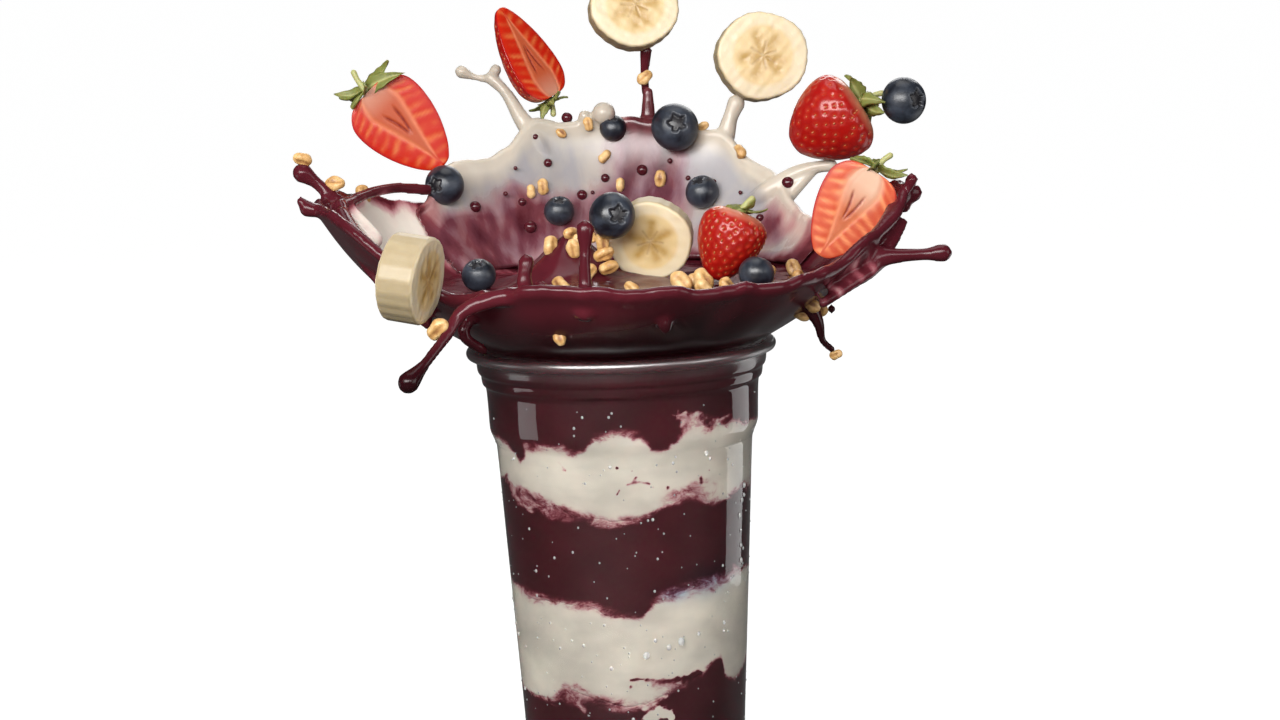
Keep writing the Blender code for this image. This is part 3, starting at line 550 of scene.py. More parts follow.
def strand(points, radii, sides=16):
    """A circle carried along a smooth path, with round ends. Its radius runs smoothly through the radii."""
    path = smooth_path(points, 8)
    knots = np.linspace(0, len(path) - 1, len(radii))
    radius = np.interp(np.arange(len(path)), knots, radii)
    radius = np.convolve(np.pad(radius, 2, "edge"), [0.1, 0.2, 0.4, 0.2, 0.1], "valid")
    first = path[0] - path[1]
    last = path[-1] - path[-2]
    first /= np.linalg.norm(first)
    last /= np.linalg.norm(last)
    out = np.sin(np.linspace(0.25, 1.3, 4))[:, None]
    thin = np.cos(np.linspace(0.25, 1.3, 4))
    start = path[0] + first * out[::-1] * radius[0]
    path = np.concatenate([start, path, path[-1] + last * out * radius[-1]])
    radius = np.concatenate([thin[::-1] * radius[0], radius, thin * radius[-1]])
    along = np.gradient(path, axis=0)
    along /= np.linalg.norm(along, axis=1, keepdims=True)
    side = np.cross(along, (0.31, 0.42, 0.22))
    side /= np.linalg.norm(side, axis=1, keepdims=True)
    other = np.cross(along, side)
    turn = np.linspace(0, 2 * np.pi, sides, endpoint=False)[:, None]
    rings = np.cos(turn) * side[:, None] + np.sin(turn) * other[:, None]
    rings = path[:, None] + rings * radius[:, None, None]
    return closed_rings(rings, path[0] + first * 0.1, path[-1] + last * 0.1)


def drop(x, y, z, radius, tall=1.0, rows=10, columns=16):
    """A ball, stretched upward by tall: radius times the sine and cosine of the angle from its foot."""
    steep = np.linspace(0, np.pi, rows + 2)[1:-1, None]
    turn = np.linspace(0, 2 * np.pi, columns, endpoint=False)
    rings = around_axis(radius * np.sin(steep), turn, -np.cos(steep) * tall * radius)
    centre = np.array([x, y, z])
    return closed_rings(rings + centre, centre - (0, 0, tall * radius), centre + (0, 0, tall * radius))


def laid_together(bodies):
    """Points and faces of several bodies as one list of each."""
    points, faces, count = [], [], 0
    for body_points, body_faces in bodies:
        points.append(body_points)
        faces += [[corner + count for corner in face] for face in body_faces]
        count += len(body_points)
    return np.concatenate(points), faces


def one_skin(name, bodies, voxel, rounds):
    """One skin round closed bodies that overlap: they are wrapped at a voxel size and eased, so that their
    joints run into each other as thick liquid does."""
    skin = bpy.data.objects.new(name, mesh_of(name, *laid_together(bodies)))
    bpy.context.scene.collection.objects.link(skin)
    wrap = skin.modifiers.new("Wrap", "REMESH")
    wrap.mode = "VOXEL"
    wrap.voxel_size = voxel * 0.001
    ease = skin.modifiers.new("Ease", "SMOOTH")
    ease.factor = 0.5
    ease.iterations = rounds
    bpy.context.view_layer.update()
    graph = bpy.context.evaluated_depsgraph_get()
    mesh = bpy.data.meshes.new_from_object(skin.evaluated_get(graph))
    bpy.data.objects.remove(skin)
    return mesh


def points_of(mesh):
    """A mesh's points in millimetres."""
    places = np.empty(len(mesh.vertices) * 3, np.float32)
    mesh.vertices.foreach_get("co", places)
    return places.reshape(-1, 3).astype(float) * 1000


def mark(mesh, name, values):
    """Keeps a number at each point of a mesh."""
    mesh.attributes.new(name, "FLOAT", "POINT").data.foreach_set("value", np.asarray(values, np.float32))


def flow_of(mesh, points):
    """The place that the streaks of what was thrown up read, also kept on the mesh in metres. Beyond 42 mm
    from the axis the way out counts a third, and so does the height, so that a pattern is drawn out up the
    wall."""
    out = np.hypot(points[:, 0], points[:, 1]) + 1e-6
    drawn = np.minimum(out, 42) + 0.33 * np.maximum(out - 42, 0)
    flow = np.stack([points[:, 0] * drawn / out, points[:, 1] * drawn / out, points[:, 2] * 0.33], 1)
    kept = mesh.attributes.new("flow", "FLOAT_VECTOR", "POINT")
    kept.data.foreach_set("vector", (flow * 0.001).astype(np.float32).ravel())
    return flow


def crown_rings(angle, rim, inner_foot):
    """Rings up the crown's outside, over its rolled rim in a half round, and down its inside. The wall swells
    near the rim by a bell of the way to it, and shallow folds run up it."""
    folds = 0.55 * np.sin(9 * angle + 1.2 * np.sin(2 * angle)) + 0.35 * np.sin(17 * angle + 0.6)
    top = rim - LIP

    def ring(level, inward):
        """A ring at a level in the wall's formula, inward of its folded outside."""
        radius, height = crown_wall(level, angle, inward + folds * np.clip(level / 14, 0, 1))
        return around_axis(radius, angle, MOUTH + height)

    def swell(level):
        """A bell of the way up to the rim."""
        return SWELL * np.exp(-(((top - level) / 2.2) ** 2))

    outside = [ring(share * top, -swell(share * top)) for share in np.linspace(0, 1, 30)]
    across = wall_thickness(rim) + 2 * SWELL
    over = [
        ring(top + (LIP + 0.4) * np.sin(turn), across * 0.5 * (1 - np.cos(turn)) - SWELL)
        for turn in np.linspace(0.4, 2.74, 5)
    ]
    levels = [inner_foot + share * (top - inner_foot) for share in np.linspace(1, 0, 30)]
    return outside + over + [ring(level, wall_thickness(level) + swell(level)) for level in levels]


crown_angle = np.linspace(0, 2 * np.pi, 360, endpoint=False)
acai_rim = round_table(ACAI_RIM, np.degrees(crown_angle), 1.6)
around = around_axis(90, crown_angle, 0)
acai_rim = acai_rim + 0.9 * ripples(around, 24, 11) + 0.5 * ripples(around, 9, 12)
foot = wall_start(crown_angle, wall_thickness, POOL + 0.2)
neck = ((15, 146.0), (30, 146.0), (43.6, 146.2), (44.5, 148.0), (44.8, 150.0), (44.7, 151.6))
rings = [around_axis(radius, crown_angle, level) for radius, level in neck]
rings += crown_rings(crown_angle, acai_rim, foot)
edge = np.hypot(rings[-1][:, 0], rings[-1][:, 1])
for share in np.linspace(0.96, 0.06, 26):
    x = share * edge * np.cos(crown_angle)
    y = share * edge * np.sin(crown_angle)
    rings.append(np.stack([x, y, MOUTH + pool_height(x, y)], -1))
middle = MOUTH + float(pool_height(np.array(0.0), np.array(0.0)))
bodies = [closed_rings(np.array(rings), (0, 0, 146), (0, 0, middle))]
bodies += [strand(points, radii) for points, radii in ACAI_STRANDS]
bodies.append(drop(*FRONT_DROP, tall=1.5))
bodies += [drop(*clump) for clump in CLUMPS]
crown_mesh = one_skin("acai_crown", bodies, 1.0, 5)


def bells(points, table):
    """The sum of a table's bells: its share at each centre, falling off as e to the power of minus the square
    of the way to it over the bell's size."""
    return sum(share * np.exp(-(((points - centre) / size) ** 2).sum(-1)) for share, centre, size in table)


crown_points = points_of(crown_mesh)
crown_flow = flow_of(crown_mesh, crown_points)
level = np.clip(crown_points[:, 2] - MOUTH, 0, 70)
bearing = np.arctan2(crown_points[:, 1], crown_points[:, 0])
middle_of_wall = crown_wall(level, bearing, 0.9)[0]
inside = np.clip((middle_of_wall - np.hypot(crown_points[:, 0], crown_points[:, 1])) / 1.2, 0, 1)
# The cream on the outside at the right is real cream and partly a painted glow, streaked by ripples
outer_cream_and_glow = bells(crown_points, OUTER_CREAM_AND_GLOW) * np.clip(0.9 + 0.5 * ripples(crown_flow, 3.2, 23), 0.1, 1.5)
clinging = bells(crown_points, INNER_CREAM) * inside + outer_cream_and_glow
clinging += 0.2 * inside * ripples(crown_flow, 9, 21) * np.clip(clinging * 2, 0, 1)
clinging += 0.09 * inside * ripples(crown_flow, 3.6, 22) * np.clip(clinging * 2, 0, 1)
mark(crown_mesh, "depth", DEEP - 13 * np.clip(clinging, 0, 1.1))
# Painted shade on the outside, darkest near the mouth and under the painted shadow and less under the painted
# glow; kept as the mark thick
thick = np.exp(-((level / 11) ** 2)) * (1 - inside) + bells(crown_points, PAINTED_SHADOW) * (1 - inside)
mark(crown_mesh, "thick", np.clip(thick, 0, 1.1) - bells(crown_points, PAINTED_GLOW) * (1 - inside))
crown_look, crown_tree, crown_shader, crown_colour = swirled_look(
    "acai_crown", thrown=True, spread=3.2, softness=6.5, gloss=(0.2, 0.28), relief=0.08, IOR=1.37,
    Specular_IOR_Level=0.32, Subsurface_Weight=0.08, Subsurface_Scale=0.002,
    Subsurface_Radius=(1.0, 0.3, 0.35),
)
# The painted shade and glow scale the acai's colour, from 2.3 times where it glows to 0.22 where it is
# darkest
painted_light = ranged(crown_tree, mark_of(crown_tree, "thick"), 2.3, 0.22, -1.2, 1.1)
painted_light = node(crown_tree, "VectorMath", {0: crown_colour, 3: painted_light}, operation="SCALE").outputs[0]
feed(crown_tree, crown_shader, Base_Color=painted_light)
piece_of("acai_crown", crown_mesh, crown_look, "acai", "acai_splash")

# The cream sheet. Sweet cream thrown up with the acai: a thin sheet that stands inside the back of the crown,
# with a thick rounded edge, scallops, a spike that throws off beads, and a tongue over the gap on the right.
CREAM_RIM = [
    (22, 28), (33, 31), (40, 36), (44, 43), (50, 46), (58, 52), (63, 60.5), (68, 60.5), (75, 62.5),
    (85, 65.5), (95, 65), (103, 64), (109, 66), (113, 62), (116, 57), (122, 53), (133, 53), (138, 49),
    (142, 42), (147, 38),
]
SHEET_ENDS = (22, 147)
CREAM_LIP = 1.9
CREAM_ROLL = 3.9
CREAM_BEAD = (-3.2, 77.8, 219.6, 4.0)
# Where acai has run into the cream, where it may be deepest, and under the jet: share, centre and sizes
STAINS = [
    (0.9, (11, 78, 213), (9, 10, 11)), (1.0, (11, 74, 202), (15, 16, 18)), (0.66, (3, 68, 186), (20, 14, 10)),
    (1.05, (-42, 48, 178), (22, 20, 12)), (0.85, (-22, 62, 186), (19, 16, 10)),
    (0.85, (54, 46, 181), (15, 16, 11)), (0.8, (-50, 46, 183), (12, 14, 10)),
    (0.55, (33, 58, 178), (18, 14, 7)), (0.4, (-34, 64, 196), (8, 9, 5)),
]
DEEPER_STAINS = [(0.2, (11, 74, 206), (13, 20, 20)), (0.18, (-43, 50, 181), (22, 22, 11))]
JET_STAIN = [(1.1, (11.8, 82.5, 223), (6, 7, 10))]
# Painted bluish shade on the cream: share, centre and size each way
PAINTED_BLUISH_SHADE = [(0.75, (34, 66, 196), (24, 22, 13)), (0.4, (-24, 70, 204), (15, 16, 11))]
CREAM_STRANDS = [
    (
        [(-21, 75.8, 203), (-26, 76.5, 211), (-31.5, 78.4, 219.5), (-36, 81, 227.5), (-41, 83, 232.8)],
        [1.6, 2.6, 3.2, 2.4, 1.9, 2.3],
    ),
    ([(-40.5, 83, 232.3), (-46.5, 84, 233.2), (-51, 84, 235.2)], [1.8, 1.0, 2.4]),
    ([(-41, 83, 232.5), (-39.4, 84, 235.4)], [1.3, 2.1]),
    ([(-9.7, 81, 206), (-9.7, 80, 211), (-9.7, 79, 218.8)], [1.0, 2.0, 2.3]),
    ([(34, 73.5, 201), (36.8, 73.4, 207), (39, 73.8, 215.5), (41.6, 74.5, 221.5)], [1.2, 2.6, 3.2, 2.5, 3.1]),
    (
        [(44, 59.5, 188), (51, 55.5, 193), (58.5, 54.5, 197.8), (65, 53, 200.3), (71.5, 51.5, 201.2)],
        [2.6, 3.6, 3.1, 2.8, 2.1, 2.2],
    ),
    ([(46, 56, 184), (54, 53.5, 189), (60, 53, 194.5), (65, 53, 199)], [2.2, 3.0, 2.4, 1.8]),
    (
        [(12, 82.5, 226), (11.8, 82.4, 219), (11.4, 82, 212), (10.8, 81, 204), (10, 80, 197)],
        [1.8, 2.4, 3.4, 4.0, 2.5],
    ),
    (
        [(26, 75.5, 206), (33, 74, 206), (39, 70, 202.5), (47, 62.5, 197), (54, 55, 193)],
        [1.4, 2.0, 2.2, 2.3, 2.0],
    ),
]


def cream_outside(height):
    """How far inward of the crown's outside the cream's back lies: just inside the acai wall."""
    return wall_thickness(height) + 0.9


def sheet_line(level, inward):
    """One line along the sheet at a level in the wall's formula and a distance inward of its outside."""
    radius, height = crown_wall(level, sheet_angle, inward)
    return around_axis(radius, sheet_angle, MOUTH + height)


sheet_degrees = np.linspace(*SHEET_ENDS, 260)
sheet_angle = np.radians(sheet_degrees)
cream_rim = round_table(CREAM_RIM, sheet_degrees, 1.2)
around = around_axis(80, sheet_angle, 0)
cream_rim = cream_rim + 0.7 * ripples(around, 15, 31) + 0.4 * ripples(around, 6, 32)
sheet_foot = wall_start(sheet_angle, cream_outside, POOL + 0.8)
folds = 0.4 * ripples(around, 13, 33)
from_end = np.minimum(sheet_degrees - SHEET_ENDS[0], SHEET_ENDS[1] - sheet_degrees)
taper = np.clip(from_end / 5, 0.15, 1)
height_to_lip = cream_rim - CREAM_LIP - sheet_foot
sections = []
for share in np.linspace(0, 1, 22):
    level = sheet_foot + share * height_to_lip
    sections.append(sheet_line(level, cream_outside(level) + folds * share - SWELL * share**10))
for turn in np.linspace(0.4, 2.74, 5):
    inward = cream_outside(cream_rim) + folds - SWELL + CREAM_ROLL * 0.5 * (1 - np.cos(turn))
    sections.append(sheet_line(cream_rim - CREAM_LIP + CREAM_LIP * np.sin(turn), inward))
for share in np.linspace(1, 0, 22):
    level = sheet_foot + share * height_to_lip
    sections.append(sheet_line(level, cream_outside(level) + folds * share + taper * (2.1 + 1.3 * share**10)))
sections = np.array(sections).transpose(1, 0, 2)
bodies = [closed_rings(sections, sections[0].mean(0), sections[-1].mean(0))]
bodies += [strand(points, radii) for points, radii in CREAM_STRANDS]
bodies.append(drop(*CREAM_BEAD))
sheet_mesh = one_skin("cream_sheet", bodies, 0.7, 5)
sheet_points = points_of(sheet_mesh)
sheet_flow = flow_of(sheet_mesh, sheet_points)
sheet_bearing = np.degrees(np.arctan2(sheet_points[:, 1], sheet_points[:, 0]))
ends = np.exp(-(((sheet_bearing - 22) / 7) ** 2)) + np.exp(-(((sheet_bearing - 149) / 9) ** 2))
low = np.exp(-((np.maximum(sheet_points[:, 2] - MOUTH - POOL, 0) / 5.5) ** 2))
stain = np.minimum(bells(sheet_points, STAINS), 0.8 + bells(sheet_points, DEEPER_STAINS))
stain = np.maximum(stain, 1.2 * np.maximum(ends, low)) + bells(sheet_points, JET_STAIN)
stain += 0.2 * ripples(sheet_flow, 9, 41) * np.clip(stain * 1.5 + 0.12, 0, 1)
stain += 0.1 * ripples(sheet_flow, 3.4, 42) * np.clip(stain * 1.5, 0, 1)
rim_gap = MOUTH + np.interp(sheet_bearing, sheet_degrees, cream_rim) - sheet_points[:, 2]
mark(sheet_mesh, "depth", -7 + 9.5 * np.clip(stain, 0, 1.1))
# Painted shade: the cream is left bright along its rim, and the rest is darkened as if in the crown's shade
mark(sheet_mesh, "painted_bluish_shade", bells(sheet_points, PAINTED_BLUISH_SHADE))
mark(sheet_mesh, "inner", np.clip(rim_gap / 6 - 0.4, 0, 1))
sheet_look, sheet_tree, sheet_shader, sheet_colour = swirled_look(
    "cream_sheet", thrown=True, spread=2.5, softness=8.5, gloss=(0.2, 0.28), relief=0.06, IOR=1.38,
    Subsurface_Weight=0.2, Subsurface_Scale=0.003, Subsurface_Radius=(1.0, 0.7, 0.5),
)
place = node(sheet_tree, "TexCoord").outputs["Object"]
place = node(sheet_tree, "Mapping", {0: place, "Rotation": (0, 0.5, 0), "Scale": (1.3, 1.3, 0.5)}).outputs[0]
# Painted bluish shade: patches of noise, and the painted bluish shade bells, where the cream lies inward of
# its rim
bluish_shade_share = ranged(sheet_tree, noise_of(sheet_tree, 70.0, 3.0, place, Distortion=1.2), 0.0, 0.75, 0.36, 0.62)
bluish_shade_share = sum_of(sheet_tree, "MINIMUM", sum_of(sheet_tree, "ADD", bluish_shade_share, mark_of(sheet_tree, "painted_bluish_shade")), 1.0)
inner = mark_of(sheet_tree, "inner")
# The sheet's colour is darkened by painted shade inward of its rim, and tinted lavender grey where the
# painted bluish shade lies
shade = blend(sheet_tree, inner, (0.75, 0.73, 0.69, 1), (0.57, 0.56, 0.56, 1))
shade = blend(sheet_tree, sum_of(sheet_tree, "MULTIPLY", bluish_shade_share, inner), shade, (0.43, 0.45, 0.53, 1))
feed(sheet_tree, sheet_shader, Base_Color=blend(sheet_tree, 1.0, sheet_colour, shade, "MULTIPLY"))
piece_of("cream_sheet", sheet_mesh, sheet_look, "cream", "cream_splash")

# Acai drops. Small round drops of the thrown acai, up to five millimetres across, that landed on the cream
# sheet and stuck to it half sunk. Each line gives their centres and radii.
DROPS = [
    (-26.7, 74.9, 212.7, 1.3), (-22.7, 73.1, 203.9, 1.5), (-3.6, 73.8, 198.0, 1.5), (-11.6, 71.1, 192.8, 1.8),
    (-29.2, 60.7, 183.6, 2.2), (-31.7, 64.9, 191.7, 1.4), (-47.1, 56.7, 191.4, 2.0), (9.0, 74.1, 200.2, 1.9),
    (57.1, 52.8, 195.7, 2.4), (48.8, 55.2, 191.2, 1.3), (47.4, 51.2, 184.6, 1.4), (24.4, 70.2, 197.2, 0.9),
    (-15.8, 81.0, 218.4, 1.9), (-37.0, 62.0, 195.0, 0.8), (-8.0, 71.5, 193.5, 0.7), (33.0, 66.5, 196.0, 0.8),
    (18.5, 73.5, 203.0, 0.9), (-33.5, 67.5, 203.0, 0.7), (41.5, 60.5, 192.5, 0.7), (2.5, 72.0, 190.5, 1.0),
]
drop_points, drop_faces = laid_together([drop(*each, rows=8, columns=14) for each in DROPS])
drop_look = swirled_look(
    "acai_drop", thrown=False, spread=2.0, softness=3.0, gloss=(0.1, 0.2), relief=0.1, IOR=1.37
)[0]
drop_mesh = mesh_of("acai_drops", drop_points, drop_faces, depth=np.full(len(drop_points), 5.0))
piece_of("acai_drops", drop_mesh, drop_look, "acai")

# Granola. Puffed and toasted grains, each a plump oval with a crease along one side. They fell into the
# splash and are stuck in it or on it. Each line gives their centres and half lengths.
GRANOLA = [
    (-20.8, -1.0, 182.9, 3.6), (-14.3, 1.0, 186.6, 3.0), (-13.6, -6.0, 182.6, 3.2),
    (-4.4, -10.0, 184.8, 3.3), (-4.2, -10.0, 181.0, 3.4), (-2.8, -11.0, 176.8, 3.2),
    (-15.9, -41.0, 171.2, 3.4), (-17.1, -41.0, 174.7, 3.5), (4.2, -29.0, 171.9, 2.8),
    (19.4, -26.0, 173.2, 3.9), (26.2, -28.0, 173.6, 4.0), (26.2, -32.0, 171.6, 3.2),
    (33.4, -29.0, 171.8, 3.2), (55.8, 8.0, 172.2, 3.2), (56.5, -10.0, 170.8, 3.2),
    (47.6, 5.0, 171.4, 2.8), (-17.8, -57.0, 161.6, 2.7), (62.0, -14.0, 163.0, 4.0),
    (65.5, -6.0, 165.6, 2.9), (59.5, -22.0, 163.8, 2.8), (56.5, -19.0, 160.5, 2.6),
    (-98.0, 5.0, 213.0, 3.1), (-88.2, 5.0, 205.0, 3.3), (-82.0, 31.0, 198.5, 3.8),
    (-53.0, -68.5, 166.8, 3.9), (-9.0, -14.0, 175.8, 3.0), (-11.5, -4.0, 184.8, 2.6),
    (66.6, -19.5, 147.9, 2.2), (11.1, 81.6, 231.0, 3.0), (-3.4, 75.6, 205.2, 2.7),
    (1.4, 72.0, 195.7, 2.4), (15.0, 71.4, 197.3, 2.9), (-24.6, 68.6, 196.3, 2.8),
    (-28.6, 66.8, 195.0, 2.4), (42.1, 65.8, 205.8, 3.0), (-8.6, 76.8, 216.3, 2.4),
    (30.1, 73.4, 214.3, 2.2), (-17.9, 76.2, 213.6, 2.0), (24.0, -22.0, 172.6, 3.0),
    (-8.4, -8.0, 186.6, 2.6),
]


def grain(x, y, z, size, draw):
    """A puffed grain: an ellipsoid along X, pinched by a crease that faces up, with a few soft dents."""
    steep = np.linspace(0, np.pi, 15)[1:-1, None]
    turn = np.linspace(0, 2 * np.pi, 22, endpoint=False)
    swell = 1 + 0.08 * np.sin(2 * turn + 3 * steep + draw.uniform(0, 6))
    swell = swell + 0.06 * np.sin(5 * steep + draw.uniform(0, 6))
    off = np.angle(np.exp(1j * (turn - np.pi / 2)))
    crease = 0.34 * np.exp(-((off / 0.3) ** 2)) * np.sin(steep) ** 1.5
    wide = np.sin(steep) ** 0.85 * (swell - crease)
    along = -np.cos(steep) + 0 * turn
    body = np.stack([along, 0.7 * wide * np.cos(turn), 0.62 * wide * np.sin(turn)], -1) * size
    points, faces = closed_rings(body, (-size, 0, 0), (size, 0, 0))
    toast = np.append((0.9 * crease / 0.34 + 0.15 * (swell - 1) / 0.1).ravel(), [0.5, 0.5])
    spin = Matrix.Rotation(draw.uniform(0, 3.14), 3, "Y")
    face = Matrix.Rotation(draw.normal(1.35, 0.45), 3, "X")
    lean = Matrix.Rotation(draw.normal(0, 0.5), 3, "Z")
    return points @ np.array(lean @ spin @ face).T + (x, y, z), faces, toast


draw = np.random.default_rng(5)
grains = [grain(*each, draw) for each in GRANOLA]
grain_points, grain_faces = laid_together([(points, faces) for points, faces, _ in grains])
toast = np.concatenate([toast for _, _, toast in grains])
grain_look, grain_tree, grain_shader = shader_of(
    "toasted_grain", IOR=1.45, Coat_Weight=0.25, Coat_Roughness=0.3
)
mottle = noise_of(grain_tree, 420.0, 5.0, Roughness=0.65)
patch = sum_of(grain_tree, "MULTIPLY_ADD", noise_of(grain_tree, 60.0), 0.9, -0.45)
toasted = sum_of(grain_tree, "MULTIPLY_ADD", mark_of(grain_tree, "toast"), 0.42, mottle)
toasted = sum_of(grain_tree, "ADD", toasted, patch)
browning = node(grain_tree, "ValToRGB", {0: toasted})
browning.color_ramp.elements[0].position = 0.32
browning.color_ramp.elements[0].color = (0.78, 0.52, 0.24, 1)
browning.color_ramp.elements[1].position = 0.95
browning.color_ramp.elements[1].color = (0.23, 0.085, 0.02, 1)
browning.color_ramp.elements.new(0.6).color = (0.56, 0.31, 0.10, 1)
dull = ranged(grain_tree, mottle, 0.42, 0.7, 0.3, 0.7)
rough = relief_of(grain_tree, mottle, 0.5, 0.0005)
feed(grain_tree, grain_shader, Base_Color=browning.outputs[0], Roughness=dull, Normal=rough)
piece_of("granola", mesh_of("granola", grain_points, grain_faces, toast=toast), grain_look, None)

# Banana slices. Peeled banana cut across, slightly five-sided, with soft edges, a pale ring of firm pulp, and
# a darker, wetter core of lobes with the fine seed lines between them.
BANANAS = [
    ("top", 15.0, 10.0, (8.2, 80.4, 254.9), (0.12, -1, 0.22), 0.3),
    ("right", 15.4, 10.0, (50.4, 74.0, 236.8), (0.12, -1, 0.14), 1.0),
    ("centre", 13.2, 9.0, (10.8, 0.0, 184.2), (-0.1, -1, -0.12), 0.6),
    ("left", 13.6, 11.5, (-60.6, -65.4, 181.9), (0.95, -0.3, -0.16), 2.0),
]
LOBES = np.radians([48, 128, 192, 255, 285, 348])
SEED_LINES = np.radians([88, 160, 222, 270, 318, 18])
SLICE_EDGE = 1.1


def aim(direction):
    """A turn that takes +Z to a direction and keeps +X level."""
    z = Vector(direction).normalized()
    x = Vector((0, 0, 1)).cross(z).normalized()
    return Matrix((x, z.cross(x), z)).transposed()


def sunk_marks(flat, ways, width, start, stop):
    """Marks that run out from the middle in each way. Each is e to the power of minus the square of the way
    to its stretch between start and stop over its width, and all measures are in radii of the slice."""
    marked = np.zeros(flat.shape[:-1])
    for way in ways:
        ahead = flat @ (np.cos(way), np.sin(way))
        beside = flat @ (-np.sin(way), np.cos(way))
        past = np.maximum(0, np.maximum(start - ahead, ahead - stop))
        marked = np.maximum(marked, np.exp(-((np.hypot(beside, past) / width) ** 2)))
    return marked


def banana_slice(radius, thick, turned_by, seed):
    """Rings out over the lower face, up the side and in over the upper face. A face is a shallow dome with
    the core's lobes sunk into it, and the edge between face and side is a quarter circle."""
    turn = np.linspace(0, 2 * np.pi, 160, endpoint=False)
    share = np.linspace(0.03, 0.93, 40)
    bend = np.linspace(0, np.pi / 2, 7)[1:]
    half = thick / 2
    corner = 1 - (1 - np.sin(bend)) * SLICE_EDGE / radius
    climb = SLICE_EDGE * (1 - np.cos(bend))
    side = np.linspace(SLICE_EDGE, thick - SLICE_EDGE, 12)[1:-1]
    reach = np.concatenate([share, corner, np.ones(10), corner[::-1], share[::-1]])[:, None]
    high = np.concatenate([0 * share, climb, side, thick - climb[::-1], thick + 0 * share])[:, None] - half
    outline = radius * (1 + 0.014 * np.cos(5 * turn + seed) + 0.008 * np.sin(3 * turn + 2 * seed))
    x = reach * outline * np.cos(turn)
    y = 0.96 * reach * outline * np.sin(turn)
    flat = np.stack([x, y], -1) / radius
    lobe = sunk_marks(flat, LOBES + turned_by, 0.125, 0.15, 0.44)
    line = sunk_marks(flat, SEED_LINES + turned_by, 0.032, 0.04, 0.3)
    face = np.clip((np.abs(high) - (half - 0.6)) / 0.5, 0, 1) * np.ones(x.shape)
    uneven = ripples(np.stack([x, y, high + 0 * x], -1), 3.5, int(seed * 10) + 2)
    relief = 0.25 * (1 - reach**2) - 0.24 * lobe - 0.12 * line + 0.1 * uneven
    z = high + np.sign(high) * face * relief
    grown = 1 + (1 - face) * 0.006 * np.sin(23 * turn + 3 * np.sin(turn))
    rings = np.stack([x * grown, y * grown, z], -1)
    points, faces = closed_rings(rings, (0, 0, -half - 0.2), (0, 0, half + 0.2))
    disc = np.clip((0.72 - np.hypot(flat[..., 0], flat[..., 1])) / 0.1, 0, 1)
    marks = {"lobe": lobe * face, "line": line * face, "face": face, "disc": disc * face}
    return points, faces, {key: np.append(values.ravel(), [0.6, 0.6]) for key, values in marks.items()}


pulp_look, pulp_tree, pulp_shader = shader_of(
    "banana_pulp", IOR=1.38, Subsurface_Weight=0.25, Subsurface_Scale=0.003,
    Subsurface_Radius=(1.0, 0.75, 0.35), Coat_Weight=0.15, Coat_Roughness=0.25,
)
fibre = noise_of(pulp_tree, 380.0, 5.0, Roughness=0.6)
patch = noise_of(pulp_tree, 110.0, 3.0)
pale = blend(pulp_tree, patch, (0.65, 0.53, 0.35, 1), (0.70, 0.60, 0.42, 1))
rich = blend(pulp_tree, patch, (0.60, 0.41, 0.17, 1), (0.66, 0.49, 0.23, 1))
inner = sum_of(pulp_tree, "MULTIPLY", mark_of(pulp_tree, "disc"), 0.75)
fine = sum_of(pulp_tree, "MULTIPLY_ADD", fibre, 0.8, 0.45)
sunk = sum_of(pulp_tree, "MULTIPLY", mark_of(pulp_tree, "lobe"), fine)
cored = blend(pulp_tree, sunk, blend(pulp_tree, inner, pale, rich), (0.43, 0.26, 0.07, 1))
peeled = blend(pulp_tree, noise_of(pulp_tree, 260.0), (0.35, 0.27, 0.155, 1), (0.43, 0.35, 0.22, 1))
pulp = blend(pulp_tree, mark_of(pulp_tree, "face"), peeled, cored)
fine = sum_of(pulp_tree, "MULTIPLY_ADD", fibre, 0.7, 0.05)
thin = sum_of(pulp_tree, "MULTIPLY", mark_of(pulp_tree, "line"), fine)
pulp = blend(pulp_tree, thin, pulp, (0.25, 0.13, 0.035, 1))
damp = ranged(pulp_tree, sunk, 0.5, 0.28)
rough = relief_of(pulp_tree, fibre, 0.3, 0.0003)
feed(pulp_tree, pulp_shader, Base_Color=pulp, Roughness=damp, Normal=rough)
for name, radius, thick, centre, axis, turned_by in BANANAS:
    points, faces, marks = banana_slice(radius, thick, turned_by, len(name) * 0.7)
    points = points @ np.array(aim(axis)).T + centre
    mesh = mesh_of(f"banana_slice_{name}", points, faces, **marks)
    piece_of(f"banana_slice_{name}", mesh, pulp_look, "banana", f"banana_{name}")

# Strawberries. Three are halves that show their cut face: a red rim, pale fibres that run from the core to
# the seeds, and a paler core with a slit. Two are whole, with seeds in pits all over.
STRAWBERRY_PROFILE = [
    (0.0, 0.0), (0.17, 0.012), (0.30, 0.045), (0.53, 0.15), (0.78, 0.33), (0.94, 0.52), (1.0, 0.7),
    (0.94, 0.84), (0.70, 0.945), (0.36, 0.985), (0.0, 0.965),
]
# Name, tip, top, radius, the way the cut faces, the length of the leaves, and how ripe the flesh is
STRAWBERRIES = [
    ("left", (-56.7, 56.7, 205.6), (-81.0, 56.0, 231.5), 13.2, (0.12, -1, 0.1), 13.5, 1.0),
    ("high", (-37.0, 81.0, 256.3), (-19.6, 79.5, 225.9), 10.2, (0.72, -0.7, 0.15), 8.5, 1.0),
    ("back_right", (59.0, 50.0, 208.2), (81.6, 50.0, 221.7), 14.4, None, 14.0, 1.0),
    ("low_right", (63.4, -4.0, 177.2), (81.6, -4.0, 203.4), 12.0, (-0.05, -1, 0.12), 11.5, 0.0),
    ("centre", (29.8, -11.0, 171.8), (39.4, -9.0, 192.6), 10.6, None, 8.5, 1.0),
]
GOLDEN_ANGLE = 2.39996


